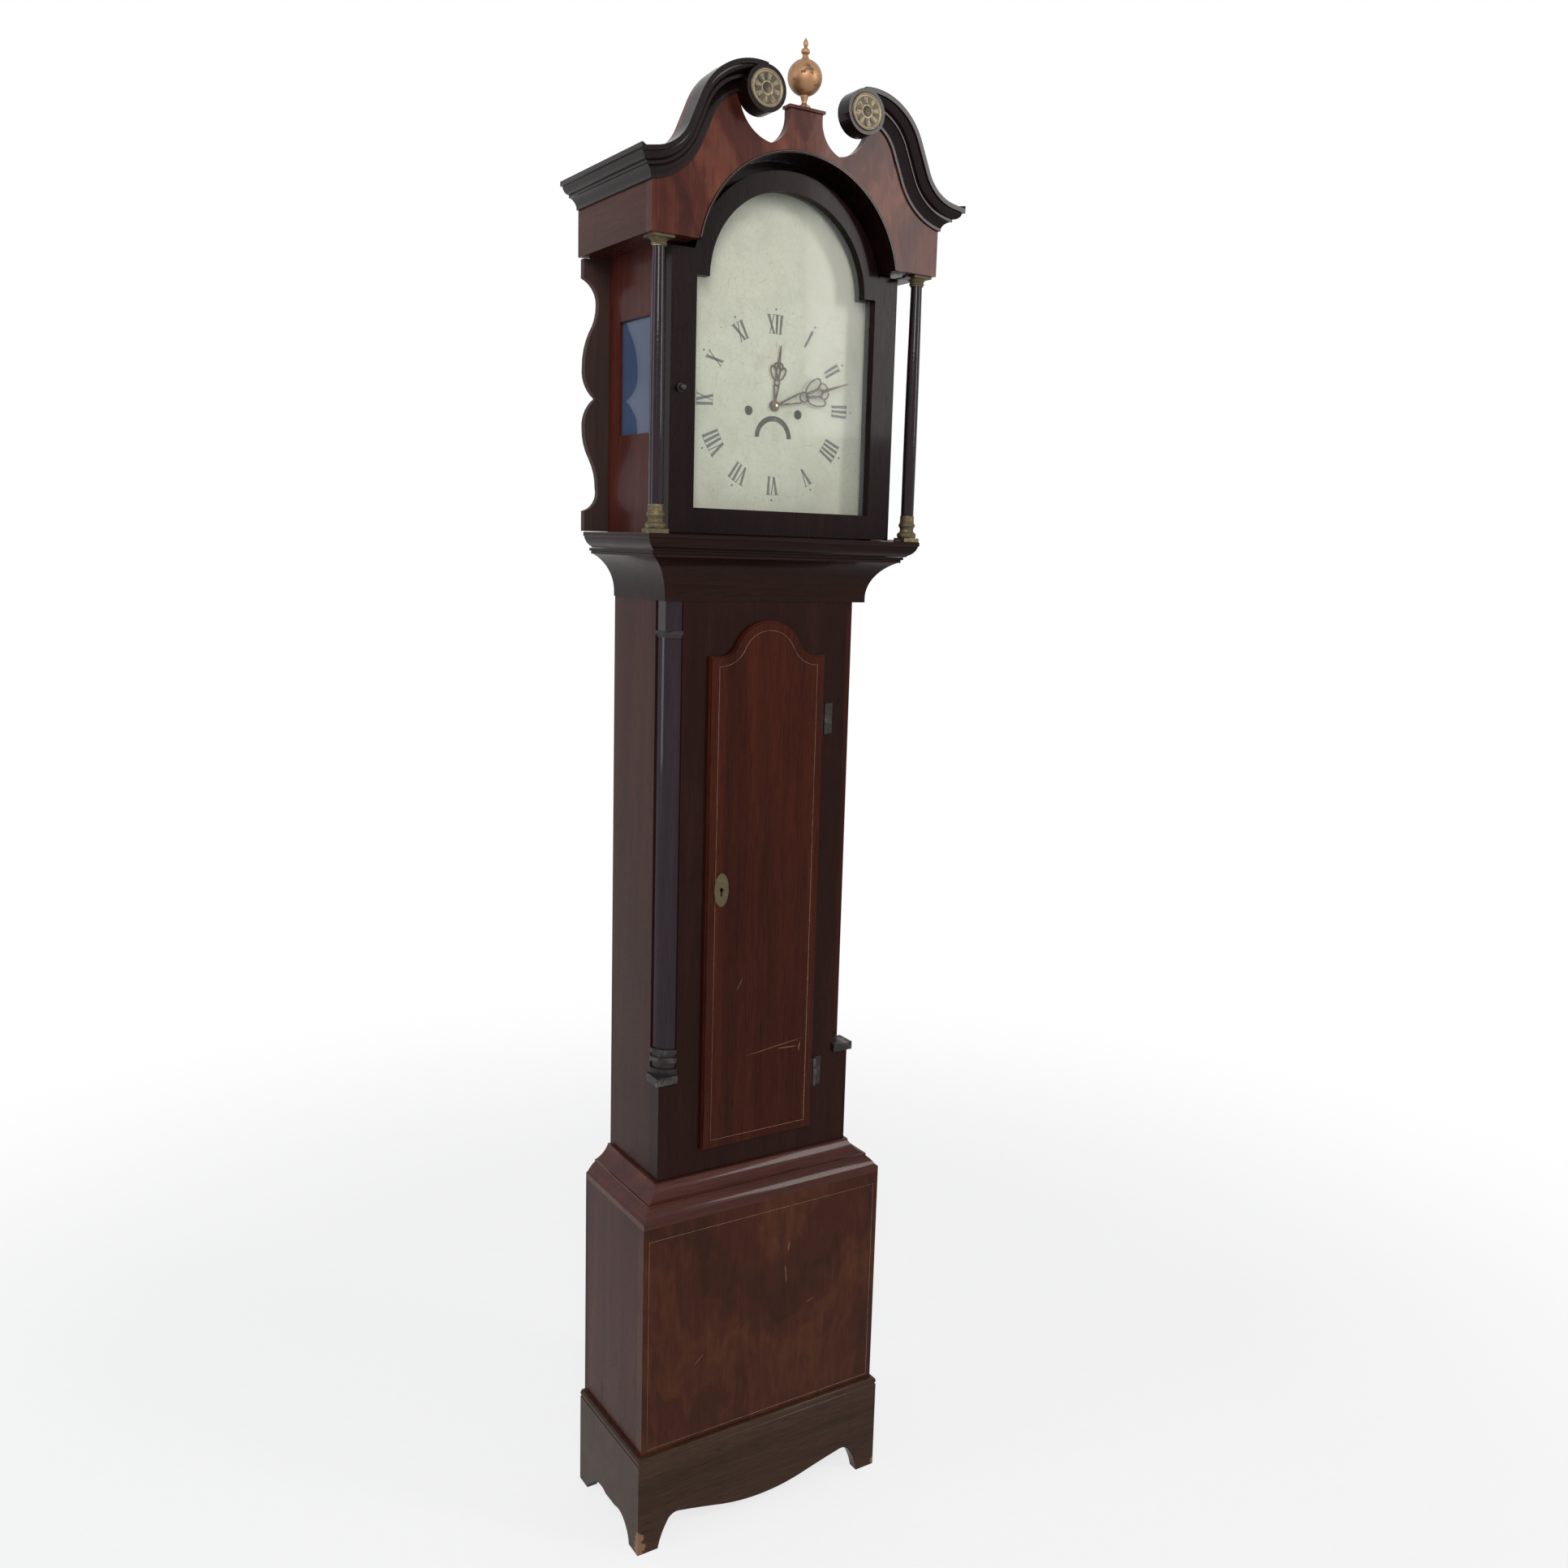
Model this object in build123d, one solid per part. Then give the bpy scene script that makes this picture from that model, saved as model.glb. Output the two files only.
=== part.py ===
from build123d import *
import math
import os

# A longcase clock with a swan-neck hood, an arched painted dial and an eight-day movement.
# All sizes are millimetres. X runs to the right as one faces the clock, Y runs back to the wall
# and Z runs up from the floor. A depth is measured forward from the wall, so y = BACK_Y - depth.
# The origin is on the floor, in the middle of the clock's overall width and depth.

# Boards and fits
SIDE_BOARD = 16.0
FRONT_BOARD = 18.0
BACK_BOARD = 12.0
WALL_HOLE_Z = 1600.0
WALL_HOLE_R = 3.0
BOARD_GAP = 0.3
PIVOT_GAP = 0.05

# Trunk
TRUNK_HALF = 176.0
TRUNK_FRONT = 171.5
TRUNK_FOOT = 520.0
THROAT_BOTTOM = 1499.0
THROAT_TOP = 1572.0
NOTCH = 30.0
NOTCH_BOTTOM = 755.0

# Base and plinth
BASE_STEP = 43.5
BASE_HALF = TRUNK_HALF + BASE_STEP
BASE_FRONT = TRUNK_FRONT + BASE_STEP
BASE_BOTTOM = 56.0
BASE_TOP = 543.5
BASE_MOULD_HEIGHT = 52.5
PLINTH_PROUD = 8.0
PLINTH_INSET = 10.0
PLINTH_TOP = 164.0

# Quarter columns in the trunk corners
COLUMN_R = 27.0
PLATE_PROUD = 6.0
PLATE_HEIGHT = 13.0
SHAFT_BOTTOM = NOTCH_BOTTOM + 53.0
CAPITAL_Z = 1445.0
CAPITAL_HEIGHT = 10.0
BLOCK_SIZE = 28.0

# Trunk door
DOOR_HALF = 102.5
DOOR_BOTTOM = 635.0
DOOR_SHOULDER = 1417.0
OGEE_START = 85.0
OGEE_LOW_R = 31.0
OGEE_HIGH_R = 63.0
OGEE_TURN = 64.8
DOOR_LIP = 8.2
DOOR_BODY = 15.5
LIP_OVERLAP = 9.0
DOOR_PLAY = 2.5
TRUNK_HINGE_X = DOOR_HALF + 4.5
TRUNK_HINGE_DEPTH = 178.0
HINGE_HEIGHT = 48.0
HINGE_Z = (728.0, 1315.5)
KNUCKLE_R = 3.0
HINGE_PIN_R = 1.2
ESCUTCHEON_X = -77.0
ESCUTCHEON_Z = 1057.0

# Hood
HOOD_FLOOR = 1596.0
HOOD_INNER = 178.0
HOOD_BASE_OUT = 57.5
HOOD_SIDE_OUT = 195.0
HOOD_SIDE = 12.0
WINDOW_BOTTOM = 1738.6
WINDOW_TOP = 1902.0
WINDOW_REAR = 50.0
WINDOW_FRONT = 150.0
PANE = 3.0
FRIEZE_HALF = 240.4
FRIEZE_FRONT = 241.6
FRIEZE_BOTTOM = 1995.0
FRIEZE_BOARD = 16.0
EAR_INSET = 6.4
FRIEZE_ARCH_Z = 1965.0
FRIEZE_ARCH_R = 166.0
LINER = 4.0
LINER_PROUD = 1.5
SOFFIT = 10.0
CORNICE_Z = 2061.0
CORNICE_HEIGHT = 36.0
CORNICE_OUT = 28.6
ROOF = 7.0
MASK_BACK = 180.0
MASK = 6.0

# Swan necks: the lower edge of each is an arc, a straight and an arc
NECK_SLOPE = 9.85
NECK_LOW_R = 98.3
NECK_LOW_TURN = 57.0
NECK_STRAIGHT = 43.7
NECK_HIGH_R = 58.8
NECK_HIGH_TURN = 75.9
BOSS_SIDE = 3.34
BOSS_RISE = 2.66
BOSS_R = 31.0
ROSETTE_R = 26.0
ROSETTE_PROUD = 1.8
ROSETTE_EYE_R = 8.0
PETALS = 8
PETAL_REACH = 14.0
CENTRE_PLINTH_HALF = 27.0
CENTRE_PLINTH_DROP = 4.0
FINIAL_HEIGHT = 95.0
FINIAL_BALL_R = 24.5

# Hood columns
HOOD_COLUMN_X = 219.0
HOOD_COLUMN_DEPTH = 222.0
HOOD_COLUMN_R = 10.0
HOOD_COLUMN_TOP_R = 8.5
COLUMN_BASE_HEIGHT = 40.0
COLUMN_CAPITAL_HEIGHT = 15.0

# Hood door
ARCH_Z = 1954.0
HOOD_DOOR_BACK = 187.0
HOOD_DOOR_THICK = 22.0
HOOD_DOOR_HALF = 192.6
HOOD_DOOR_BOTTOM = HOOD_FLOOR + 2.5
HOOD_DOOR_SHOULDER = 1988.5
HOOD_DOOR_R = 160.0
SIGHT_HALF = 152.5
SIGHT_BOTTOM = 1634.0
SIGHT_R = 132.3
REBATE = 6.0
GLASS = 2.5
STRAP = 2.0
HOOD_PIVOT_X = 194.0
HOOD_PIVOT_DEPTH = 230.0
HOOD_PIN_R = 2.0
KNOB_X = -176.0
KNOB_Z = 1799.0

# Dial and hands
DIAL_HALF = 165.0
DIAL_FRONT = 172.0
DIAL_PLATE = 2.0
DIAL_Z = 1790.0
DIAL_ARCH_R = 140.0
WINDING_HOLE_R = 7.0
WINDING_SQUARE = 6.2
WINDING_RECESS = 12.0
MOUTH_Z = 1743.0
MOUTH_INNER_R = 24.0
MOUTH_OUTER_R = 32.0
DATE_DISC_R = 35.0
DATE_POST_R = 2.0
HOUR_HAND_LENGTH = 88.0
MINUTE_HAND_LENGTH = 135.0
HOUR_HAND_ANGLE = 6.0
MINUTE_HAND_ANGLE = 72.0
HAND_THICK = 1.2
HAND_BAR = 1.9

# Movement plates
PLATE_HALF = 68.0
PLATE_BOTTOM = 1722.0
PLATE_TOP = 1887.0
PLATE = 3.0
BACK_PLATE = 84.0
FRONT_PLATE = 139.0
PIVOT_R = 1.2
PILLAR_LOW_X = 58.0
PILLAR_HIGH_X = 50.0
ARBOR_R = 1.8
SHAKE = 0.2
DRUM_PIVOT_R = 3.0
DRUM_ARBOR_R = 4.0
FLANGE = 1.2
FLANGE_PROUD = 1.8
SEAT_BOARD = 20.0
SEAT_REAR = 64.0
SEAT_FRONT = 150.0

# Wheel train, by tooth counts and modules
BARREL_X = 43.0
BARREL_Z = 1780.0
GREAT_TEETH = 96
STRIKE_TEETH = 84
RATCHET_TEETH = 20
RATCHET_MODULE = 1.3
CENTRE_LEAVES = 8
CENTRE_TEETH = 60
THIRD_LEAVES = 8
THIRD_TEETH = 56
ESCAPE_LEAVES = 7
ESCAPE_TEETH = 30
CENTRE_MODULE = 0.9
THIRD_MODULE = 0.8
ESCAPE_RISE = 48.0
ESCAPE_TIP_R = 20.0
CANNON_TEETH = 40
MOTION_DISTANCE = 38.0
HOUR_TEETH = 72
MINUTE_LEAVES = 6
WHEEL_THICK = 2.0
DRUM_R = 21.5
DRUM_REAR = 96.0
DRUM_FRONT = 126.0
CANNON_R = 3.5
CENTRE_ARBOR_R = 2.5
HAND_SQUARE_R = 2.0
MINUTE_STUD_R = 1.0

# Pendulum, weights and lines
PENDULUM_DEPTH = 45.0
PENDULUM_LENGTH = 994.0
COCK_DEPTH = 57.0
BOB_R = 50.0
BOB_THICK = 24.0
ROD_R = 2.2
GUT_R = 0.8
GUT_GAP = 0.2
PULLEY_R = 17.0
PULLEY_RIM_R = 20.0
PULLEY_PIN_R = 2.0
PULLEY_Z = 430.0
WEIGHT_R = 28.0
WEIGHT_BOTTOM = 190.0
WEIGHT_HEIGHT = 190.0
BELL_R = 45.0
BELL_X = -12.0
BELL_DEPTH = 112.0
BELL_MOUTH = 1900.0
HAMMER_X = -62.0
HAMMER_Z = 1850.0

SPAN = 4 * FRIEZE_ARCH_R
NECK_FRONT = FRIEZE_FRONT + CORNICE_OUT
BACK_Y = (NECK_FRONT + ROSETTE_PROUD) / 2
CORNICE_TOP = CORNICE_Z + CORNICE_HEIGHT
GUT_DEPTH = (DRUM_REAR + DRUM_FRONT) / 2


# Drawing helpers

def y_at(depth):
    return BACK_Y - depth


def board(x0, x1, d0, d1, z0, z1):
    middle = Pos((x0 + x1) / 2, y_at((d0 + d1) / 2), (z0 + z1) / 2)
    return middle * Box(x1 - x0, d1 - d0, z1 - z0)


def front_view(depth, x=0.0, z=0.0):
    return Plane(origin=(x, y_at(depth), z), x_dir=(1, 0, 0), z_dir=(0, -1, 0))


def side_view(x):
    return Plane(origin=(x, BACK_Y, 0), x_dir=(0, -1, 0), z_dir=(-1, 0, 0))


def panel(face, d0, d1, x=0.0, z=0.0):
    # A face drawn as seen from the front, from depth d0 forward to depth d1
    return extrude(front_view(d0, x, z) * face, amount=d1 - d0, dir=(0, -1, 0))


def side_panel(face, x0, x1):
    # A face drawn in depth and height, from x0 to x1
    return extrude(side_view(x0) * face, amount=x1 - x0, dir=(1, 0, 0))


def rod(x, z, d0, d1, r):
    return panel(Circle(r), d0, d1, x, z)


def post(x, depth, z0, z1, r):
    return Pos(x, y_at(depth), (z0 + z1) / 2) * Cylinder(r, z1 - z0)


def outline(*marks):
    # A closed face; a mark of two points is an arc through the first to the second
    edges = []
    here = marks[0]
    for mark in marks[1:]:
        if isinstance(mark[0], tuple):
            through, end = mark
            edges.append(ThreePointArc(here, through, end))
            here = end
        else:
            edges.append(Line(here, mark))
            here = mark
    edges.append(Line(here, marks[0]))
    return make_face(Curve() + edges)


def dome(r, rim, crown):
    # An arc mark from a rim of radius r to a crown on the axis
    rise = crown - rim
    ball = (r * r + rise * rise) / (2 * rise)
    turn = math.atan(rise / r)
    return ((ball * math.sin(turn), crown - ball + ball * math.cos(turn)), (0, crown))


def upright(x, depth, *marks):
    # Turned about a vertical axis; each mark is a radius and a height
    face = front_view(depth, x) * outline(*marks)
    return revolve(face, axis=Axis((x, y_at(depth), 0), (0, 0, 1)))


def turned(x, z, *marks):
    # Turned about an axis that faces the viewer; each mark is a radius and a depth
    flat = Plane(origin=(x, BACK_Y, z), x_dir=(1, 0, 0), z_dir=(0, 0, -1))
    return revolve(flat * outline(*marks), axis=Axis((x, BACK_Y, z), (0, -1, 0)))


def other_side(shape):
    return mirror(shape, about=Plane.YZ)


def both_sides(shape):
    return [shape, other_side(shape)]


def two_halves(face):
    return face + mirror(face, about=Plane.YZ)


def mitre(half, front):
    return Plane(origin=(half, y_at(front), 0), z_dir=(1, 1, 0))


def side_strip(profile, half, front, back=0.0):
    reach = profile.bounding_box().max.X
    flat = front_view(back, half) * profile
    strip = extrude(flat, amount=front + reach - back, dir=(0, -1, 0))
    return split(strip, bisect_by=mitre(half, front), keep=Keep.TOP)


def front_strip(profile, half, front):
    reach = half + profile.bounding_box().max.X
    flat = Plane(origin=(-reach, y_at(front), 0), x_dir=(0, -1, 0), z_dir=(-1, 0, 0)) * profile
    strip = extrude(flat, amount=2 * reach, dir=(1, 0, 0))
    strip = split(strip, bisect_by=mitre(half, front), keep=Keep.BOTTOM)
    return split(other_side(strip), bisect_by=mitre(half, front), keep=Keep.BOTTOM)


def mitred_strips(profile, half, front, back=0.0):
    # A profile is drawn as projection from the face it runs along, and height
    return [front_strip(profile, half, front)] + both_sides(side_strip(profile, half, front, back))


NODES = {}


def keep(name, *solids):
    NODES[name] = Compound(children=list(solids))


# Plinth: three mitred boards with a beaded top edge, cut into bracket feet

def plinth():
    bead = PLINTH_PROUD - 1.5
    top = PLINTH_TOP
    profile = outline(
        (-PLINTH_INSET, 0), (PLINTH_PROUD, 0), (PLINTH_PROUD, top - 12), (bead, top - 10.5),
        ((PLINTH_PROUD, top - 6), (bead, top - 1.5)), (bead - 1.5, top), (0, top),
        (0, BASE_BOTTOM), (-PLINTH_INSET, BASE_BOTTOM))
    front, right, left = mitred_strips(profile, BASE_HALF, BASE_FRONT)
    foot = BASE_HALF - 27.5
    front_gap = two_halves(outline(
        (0, -1), (foot, -1), (foot, 0), ((foot - 7, 24), (foot - 16, 42)),
        ((foot - 24, 51), (foot - 37, 53)), ((foot - 67, 46.5), (foot - 107, 37)),
        ((foot - 147, 29), (0, 26))))
    heel = BASE_FRONT - 24
    side_gap = outline(
        (30, -1), (30, 0), ((42, 19), (62, 31)), ((82, 37.5), (103, 34)), (138, 35),
        ((162, 36), (heel - 13, 26)), ((heel - 4, 14), (heel, 0)), (heel, -1))
    deep = PLINTH_PROUD + PLINTH_INSET + 1
    cut_front = panel(front_gap, BASE_FRONT - PLINTH_INSET - 1, BASE_FRONT + deep)
    cut_side = side_panel(side_gap, BASE_HALF - PLINTH_INSET - 1, BASE_HALF + deep)
    right = right - cut_side
    keep("plinth", front - cut_front, right, other_side(right))


# Base: a veneered front panel and two sides

def base():
    inside = BASE_FRONT - FRONT_BOARD
    keep("base_front_panel",
         board(-BASE_HALF, BASE_HALF, inside, BASE_FRONT, BASE_BOTTOM, BASE_TOP))
    side = board(BASE_HALF - SIDE_BOARD, BASE_HALF, BACK_BOARD, inside, BASE_BOTTOM, BASE_TOP)
    keep("base_sides", *both_sides(side))


def base_moulding():
    top = BASE_TOP + BASE_MOULD_HEIGHT
    step = BASE_STEP
    profile = outline(
        (0, BASE_TOP), (step, BASE_TOP), (step, BASE_TOP + 9),
        ((step - 1.6, top - 42), (step - 4, top - 40)),
        ((step - 9, top - 33), (step - 15.5, top - 27)), (step - 15.5, top - 23), (step - 18, top - 23),
        ((11, top - 12), (5, top - 2)), (5, top), (0, top))
    keep("base_moulding", *mitred_strips(profile, TRUNK_HALF, TRUNK_FRONT))


# Trunk: two sides that run up as cheeks for the seat board, and the front frame round the door

def door_outline(inset):
    # The ogee-topped outline of the trunk door, drawn in from its edge by an inset
    turn = math.radians(OGEE_TURN)
    low = OGEE_LOW_R + inset
    high = OGEE_HIGH_R - inset
    shoulder = DOOR_SHOULDER - inset
    half_turn = turn / 2
    low_mid = (OGEE_START - low * math.sin(half_turn), shoulder + low * (1 - math.cos(half_turn)))
    join = (OGEE_START - low * math.sin(turn), shoulder + low * (1 - math.cos(turn)))
    crown = join[1] + high * (1 - math.cos(turn))
    high_mid = (high * math.sin(half_turn), crown - high * (1 - math.cos(half_turn)))
    half = outline(
        (0, DOOR_BOTTOM + inset), (DOOR_HALF - inset, DOOR_BOTTOM + inset),
        (DOOR_HALF - inset, shoulder), (OGEE_START, shoulder),
        (low_mid, join), (high_mid, (0, crown)))
    return two_halves(half)


def trunk():
    side_front = TRUNK_FRONT - NOTCH
    inner = TRUNK_HALF - SIDE_BOARD
    cheek_top = PLATE_BOTTOM - SEAT_BOARD
    side = board(inner, TRUNK_HALF, BACK_BOARD, side_front, TRUNK_FOOT, cheek_top)
    keep("trunk_sides", *both_sides(side))

    opening = DOOR_HALF - LIP_OVERLAP
    rear = TRUNK_FRONT - FRONT_BOARD
    recess = TRUNK_HALF - NOTCH
    stile = board(opening, recess, rear, TRUNK_FRONT, TRUNK_FOOT, THROAT_TOP)
    stile += board(recess - FRONT_BOARD, recess, side_front - SIDE_BOARD, rear, TRUNK_FOOT, THROAT_TOP)
    stile += board(recess, inner, side_front - SIDE_BOARD, side_front, TRUNK_FOOT, THROAT_TOP)
    stile += board(recess, TRUNK_HALF, side_front, TRUNK_FRONT, TRUNK_FOOT, NOTCH_BOTTOM)
    stile += board(recess, TRUNK_HALF, side_front, TRUNK_FRONT, THROAT_BOTTOM, THROAT_TOP)
    top_rail = board(-opening, opening, rear, TRUNK_FRONT, DOOR_SHOULDER - LIP_OVERLAP, THROAT_TOP)
    top_rail -= panel(door_outline(LIP_OVERLAP), rear - 1, TRUNK_FRONT + 1)
    bottom_rail = board(-opening, opening, rear, TRUNK_FRONT, TRUNK_FOOT, DOOR_BOTTOM + LIP_OVERLAP)
    keep("trunk_front_frame", stile, other_side(stile), top_rail, bottom_rail)


def quarter_round(r, z0, z1):
    x = TRUNK_HALF - NOTCH
    depth = TRUNK_FRONT - NOTCH
    return post(x, depth, z0, z1, r) & board(x, x + r, depth, depth + r, z0, z1)


def quarter_columns():
    x = TRUNK_HALF - NOTCH
    depth = TRUNK_FRONT - NOTCH
    shaft = quarter_round(COLUMN_R, SHAFT_BOTTOM, CAPITAL_Z)
    block_z = CAPITAL_Z + CAPITAL_HEIGHT
    block = board(x, x + BLOCK_SIZE, depth, depth + BLOCK_SIZE, block_z, THROAT_BOTTOM)
    keep("quarter_column", other_side(shaft), other_side(block))

    plate_side = NOTCH + PLATE_PROUD
    plate_top = NOTCH_BOTTOM + PLATE_HEIGHT
    plate = board(x, x + plate_side, depth, depth + plate_side, NOTCH_BOTTOM, plate_top)
    foot = plate
    z = plate_top
    for radius, height in ((32, 9), (27.5, 10), (31, 8), (28.5, 5), (30.5, 8)):
        foot += quarter_round(radius, z, z + height)
        z += height
    capital = quarter_round(COLUMN_R + 1.5, CAPITAL_Z, CAPITAL_Z + 4)
    capital += quarter_round(COLUMN_R + 3, CAPITAL_Z + 4, CAPITAL_Z + CAPITAL_HEIGHT)
    remnant = plate + quarter_round(24, plate_top, plate_top + 6)
    keep("quarter_column_brasses", other_side(foot), other_side(capital), remnant)


# Backboard with the shaped ears beside the hood

def backboard():
    floor = HOOD_FLOOR
    ear = FRIEZE_HALF - EAR_INSET
    top_half = FRIEZE_HALF - FRIEZE_BOARD - 2
    under_frieze = FRIEZE_BOTTOM - 2
    half = outline(
        (0, BASE_BOTTOM), (BASE_HALF, BASE_BOTTOM), (BASE_HALF, BASE_TOP), (TRUNK_HALF, BASE_TOP),
        (TRUNK_HALF, floor + 1), (ear, floor + 1), (ear, floor + 31),
        ((ear - 17, floor + 42), (ear - 22, floor + 66)),
        ((ear - 19.5, floor + 88), (ear - 12, floor + 108)),
        ((ear - 3, floor + 130), (ear, floor + 154)),
        ((ear - 5, floor + 180), (ear - 19, floor + 198)),
        ((ear - 5, floor + 215), (ear, floor + 242)),
        ((ear - 2.5, floor + 268), (ear - 11, floor + 294)),
        ((ear - 19.5, floor + 314), (ear - 22, floor + 334)),
        ((ear - 17, floor + 354), (ear + 2, floor + 370)), (ear + 2, under_frieze),
        (top_half, under_frieze), (top_half, CORNICE_TOP - 6), (0, CORNICE_TOP - 6))
    sheet = panel(two_halves(half), 0, BACK_BOARD)
    sheet -= rod(0, WALL_HOLE_Z, -1, BACK_BOARD + 1, WALL_HOLE_R)
    keep("backboard", sheet)


def throat_moulding():
    z = THROAT_BOTTOM
    top = THROAT_TOP
    profile = outline(
        (0, z), (2, z), (2, z + 8), ((12, z + 41), (38, z + 64)), (41, z + 64), (41, z + 68),
        (44, z + 69), (44, top), (0, top))
    keep("throat_moulding", *mitred_strips(profile, TRUNK_HALF, TRUNK_FRONT))


# Trunk door with its hinges, escutcheon and lock

def keyhole():
    return Circle(3.2) + Pos(0, -5) * Rectangle(2.6, 10)


def trunk_door():
    back = TRUNK_FRONT + BOARD_GAP
    front = back + DOOR_LIP
    leaf = panel(door_outline(0), back, front - 2.4)
    leaf += panel(door_outline(2.4), front - 2.4, front)
    body = door_outline(LIP_OVERLAP + DOOR_PLAY)
    leaf += panel(body, back - DOOR_BODY, back)
    leaf -= panel(keyhole(), back - DOOR_BODY - 1, front + 1, ESCUTCHEON_X, ESCUTCHEON_Z)
    keep("trunk_door", leaf)

    plate = Ellipse(12.5, 26.5) - keyhole()
    keep("trunk_door_escutcheon", panel(plate, front, front + 1.6, ESCUTCHEON_X, ESCUTCHEON_Z))

    box_rear = back - DOOR_BODY - 10
    lock_x = -(DOOR_HALF - LIP_OVERLAP - DOOR_PLAY) + 2
    keep("trunk_door_lock",
         board(lock_x, lock_x + 34, box_rear, back - DOOR_BODY, ESCUTCHEON_Z - 24, ESCUTCHEON_Z + 24))


def trunk_hinges():
    edge = DOOR_HALF
    lip_back = TRUNK_FRONT + BOARD_GAP
    lip_front = lip_back + DOOR_LIP - 2.4
    third = HINGE_HEIGHT / 3
    case_leaves = []
    door_leaves = []
    for z in HINGE_Z:
        low = z - HINGE_HEIGHT / 2
        high = z + HINGE_HEIGHT / 2
        barrel = post(TRUNK_HINGE_X, TRUNK_HINGE_DEPTH, low, high, KNUCKLE_R)
        middle_low = low + third
        middle_high = high - third
        gap = board(TRUNK_HINGE_X - 5, TRUNK_HINGE_X + 5, TRUNK_HINGE_DEPTH - 5, TRUNK_HINGE_DEPTH + 5,
                    middle_low - BOARD_GAP, middle_high + BOARD_GAP)
        leaf = board(TRUNK_HINGE_X + 0.4, TRUNK_HINGE_X + 16, TRUNK_FRONT, TRUNK_FRONT + 1.6, low, high)
        web = board(TRUNK_HINGE_X + 0.4, TRUNK_HINGE_X + 2.0, TRUNK_FRONT, TRUNK_HINGE_DEPTH, low, high)
        pin = post(TRUNK_HINGE_X, TRUNK_HINGE_DEPTH, low, high, HINGE_PIN_R)
        case_leaves.append((barrel + web - gap) + leaf + pin)
        knuckle = post(TRUNK_HINGE_X, TRUNK_HINGE_DEPTH, middle_low, middle_high, KNUCKLE_R)
        tab = board(edge, TRUNK_HINGE_X - 0.5, TRUNK_HINGE_DEPTH - 2.4, TRUNK_HINGE_DEPTH - 0.8,
                    middle_low, middle_high)
        plate = board(edge, edge + 1.2, lip_back, lip_front, low, high)
        bore = post(TRUNK_HINGE_X, TRUNK_HINGE_DEPTH, low, high, HINGE_PIN_R + PIVOT_GAP)
        door_leaves.append(knuckle + tab - bore + plate)
    keep("trunk_hinge_case_leaves", *case_leaves)
    keep("trunk_hinge_door_leaves", *door_leaves)


# Hood carcass

def hood_base_frame():
    z = THROAT_TOP + BOARD_GAP
    out = HOOD_BASE_OUT
    profile = outline(
        (0, z), (43, z), (44.5, z + 2), ((52, z + 8), (out - 1.5, HOOD_FLOOR - 7)),
        (out, HOOD_FLOOR - 6), (out, HOOD_FLOOR - 1), (out - 1, HOOD_FLOOR), (0, HOOD_FLOOR))
    front, right, left = mitred_strips(profile, HOOD_INNER, HOOD_INNER, BACK_BOARD + BOARD_GAP)
    hole = post(HOOD_PIVOT_X, HOOD_PIVOT_DEPTH, HOOD_FLOOR - 11, HOOD_FLOOR + 1, HOOD_PIN_R + PIVOT_GAP)
    keep("hood_base_frame", front - hole, right - hole, left)


def hood_sides():
    inner = HOOD_SIDE_OUT - HOOD_SIDE
    side = board(inner, HOOD_SIDE_OUT, BACK_BOARD + BOARD_GAP, HOOD_DOOR_BACK - BOARD_GAP,
                 HOOD_FLOOR, FRIEZE_BOTTOM)
    side -= board(inner - 1, HOOD_SIDE_OUT + 1, WINDOW_REAR, WINDOW_FRONT, WINDOW_BOTTOM, WINDOW_TOP)
    keep("hood_sides", *both_sides(side))
    middle = (inner + HOOD_SIDE_OUT) / 2
    pane = board(middle - PANE / 2, middle + PANE / 2, WINDOW_REAR, WINDOW_FRONT,
                 WINDOW_BOTTOM, WINDOW_TOP)
    keep("hood_side_glasses", *both_sides(pane))


def hood_columns():
    low = HOOD_FLOOR + COLUMN_BASE_HEIGHT
    high = FRIEZE_BOTTOM - COLUMN_CAPITAL_HEIGHT
    r = HOOD_COLUMN_R
    waist = (low * 2 + high) / 3
    shaft = upright(HOOD_COLUMN_X, HOOD_COLUMN_DEPTH, (0, low), (r, low),
                    ((r + 0.1, waist), (HOOD_COLUMN_TOP_R, high)), (0, high))
    keep("hood_columns", *both_sides(shaft))

    floor = HOOD_FLOOR
    x = HOOD_COLUMN_X
    depth = HOOD_COLUMN_DEPTH
    foot = board(x - 14, x + 14, depth - 14, depth + 14, floor, floor + 6)
    foot += upright(x, depth, (0, floor + 6), (13.5, floor + 6), ((15, floor + 10), (13.5, floor + 14)),
                    (11.5, floor + 15), ((10.5, floor + 19), (12, floor + 23)),
                    ((13, floor + 25.5), (12, floor + 28)), (r + 1, floor + 30), (r + 0.8, low), (0, low))
    capital = upright(
        x, depth, (0, high), (r, high), (r, high + 2), ((r + 1.5, high + 3.5), (r, high + 5)),
        ((r + 2, high + 8.5), (r + 5.5, high + 11)), (r + 5.5, high + 12), (0, high + 12))
    capital += board(x - 16, x + 16, depth - 16, depth + 16, high + 11, FRIEZE_BOTTOM)
    keep("column_brasses", *both_sides(foot), *both_sides(capital))


# Swan necks and the pediment board behind them

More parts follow.
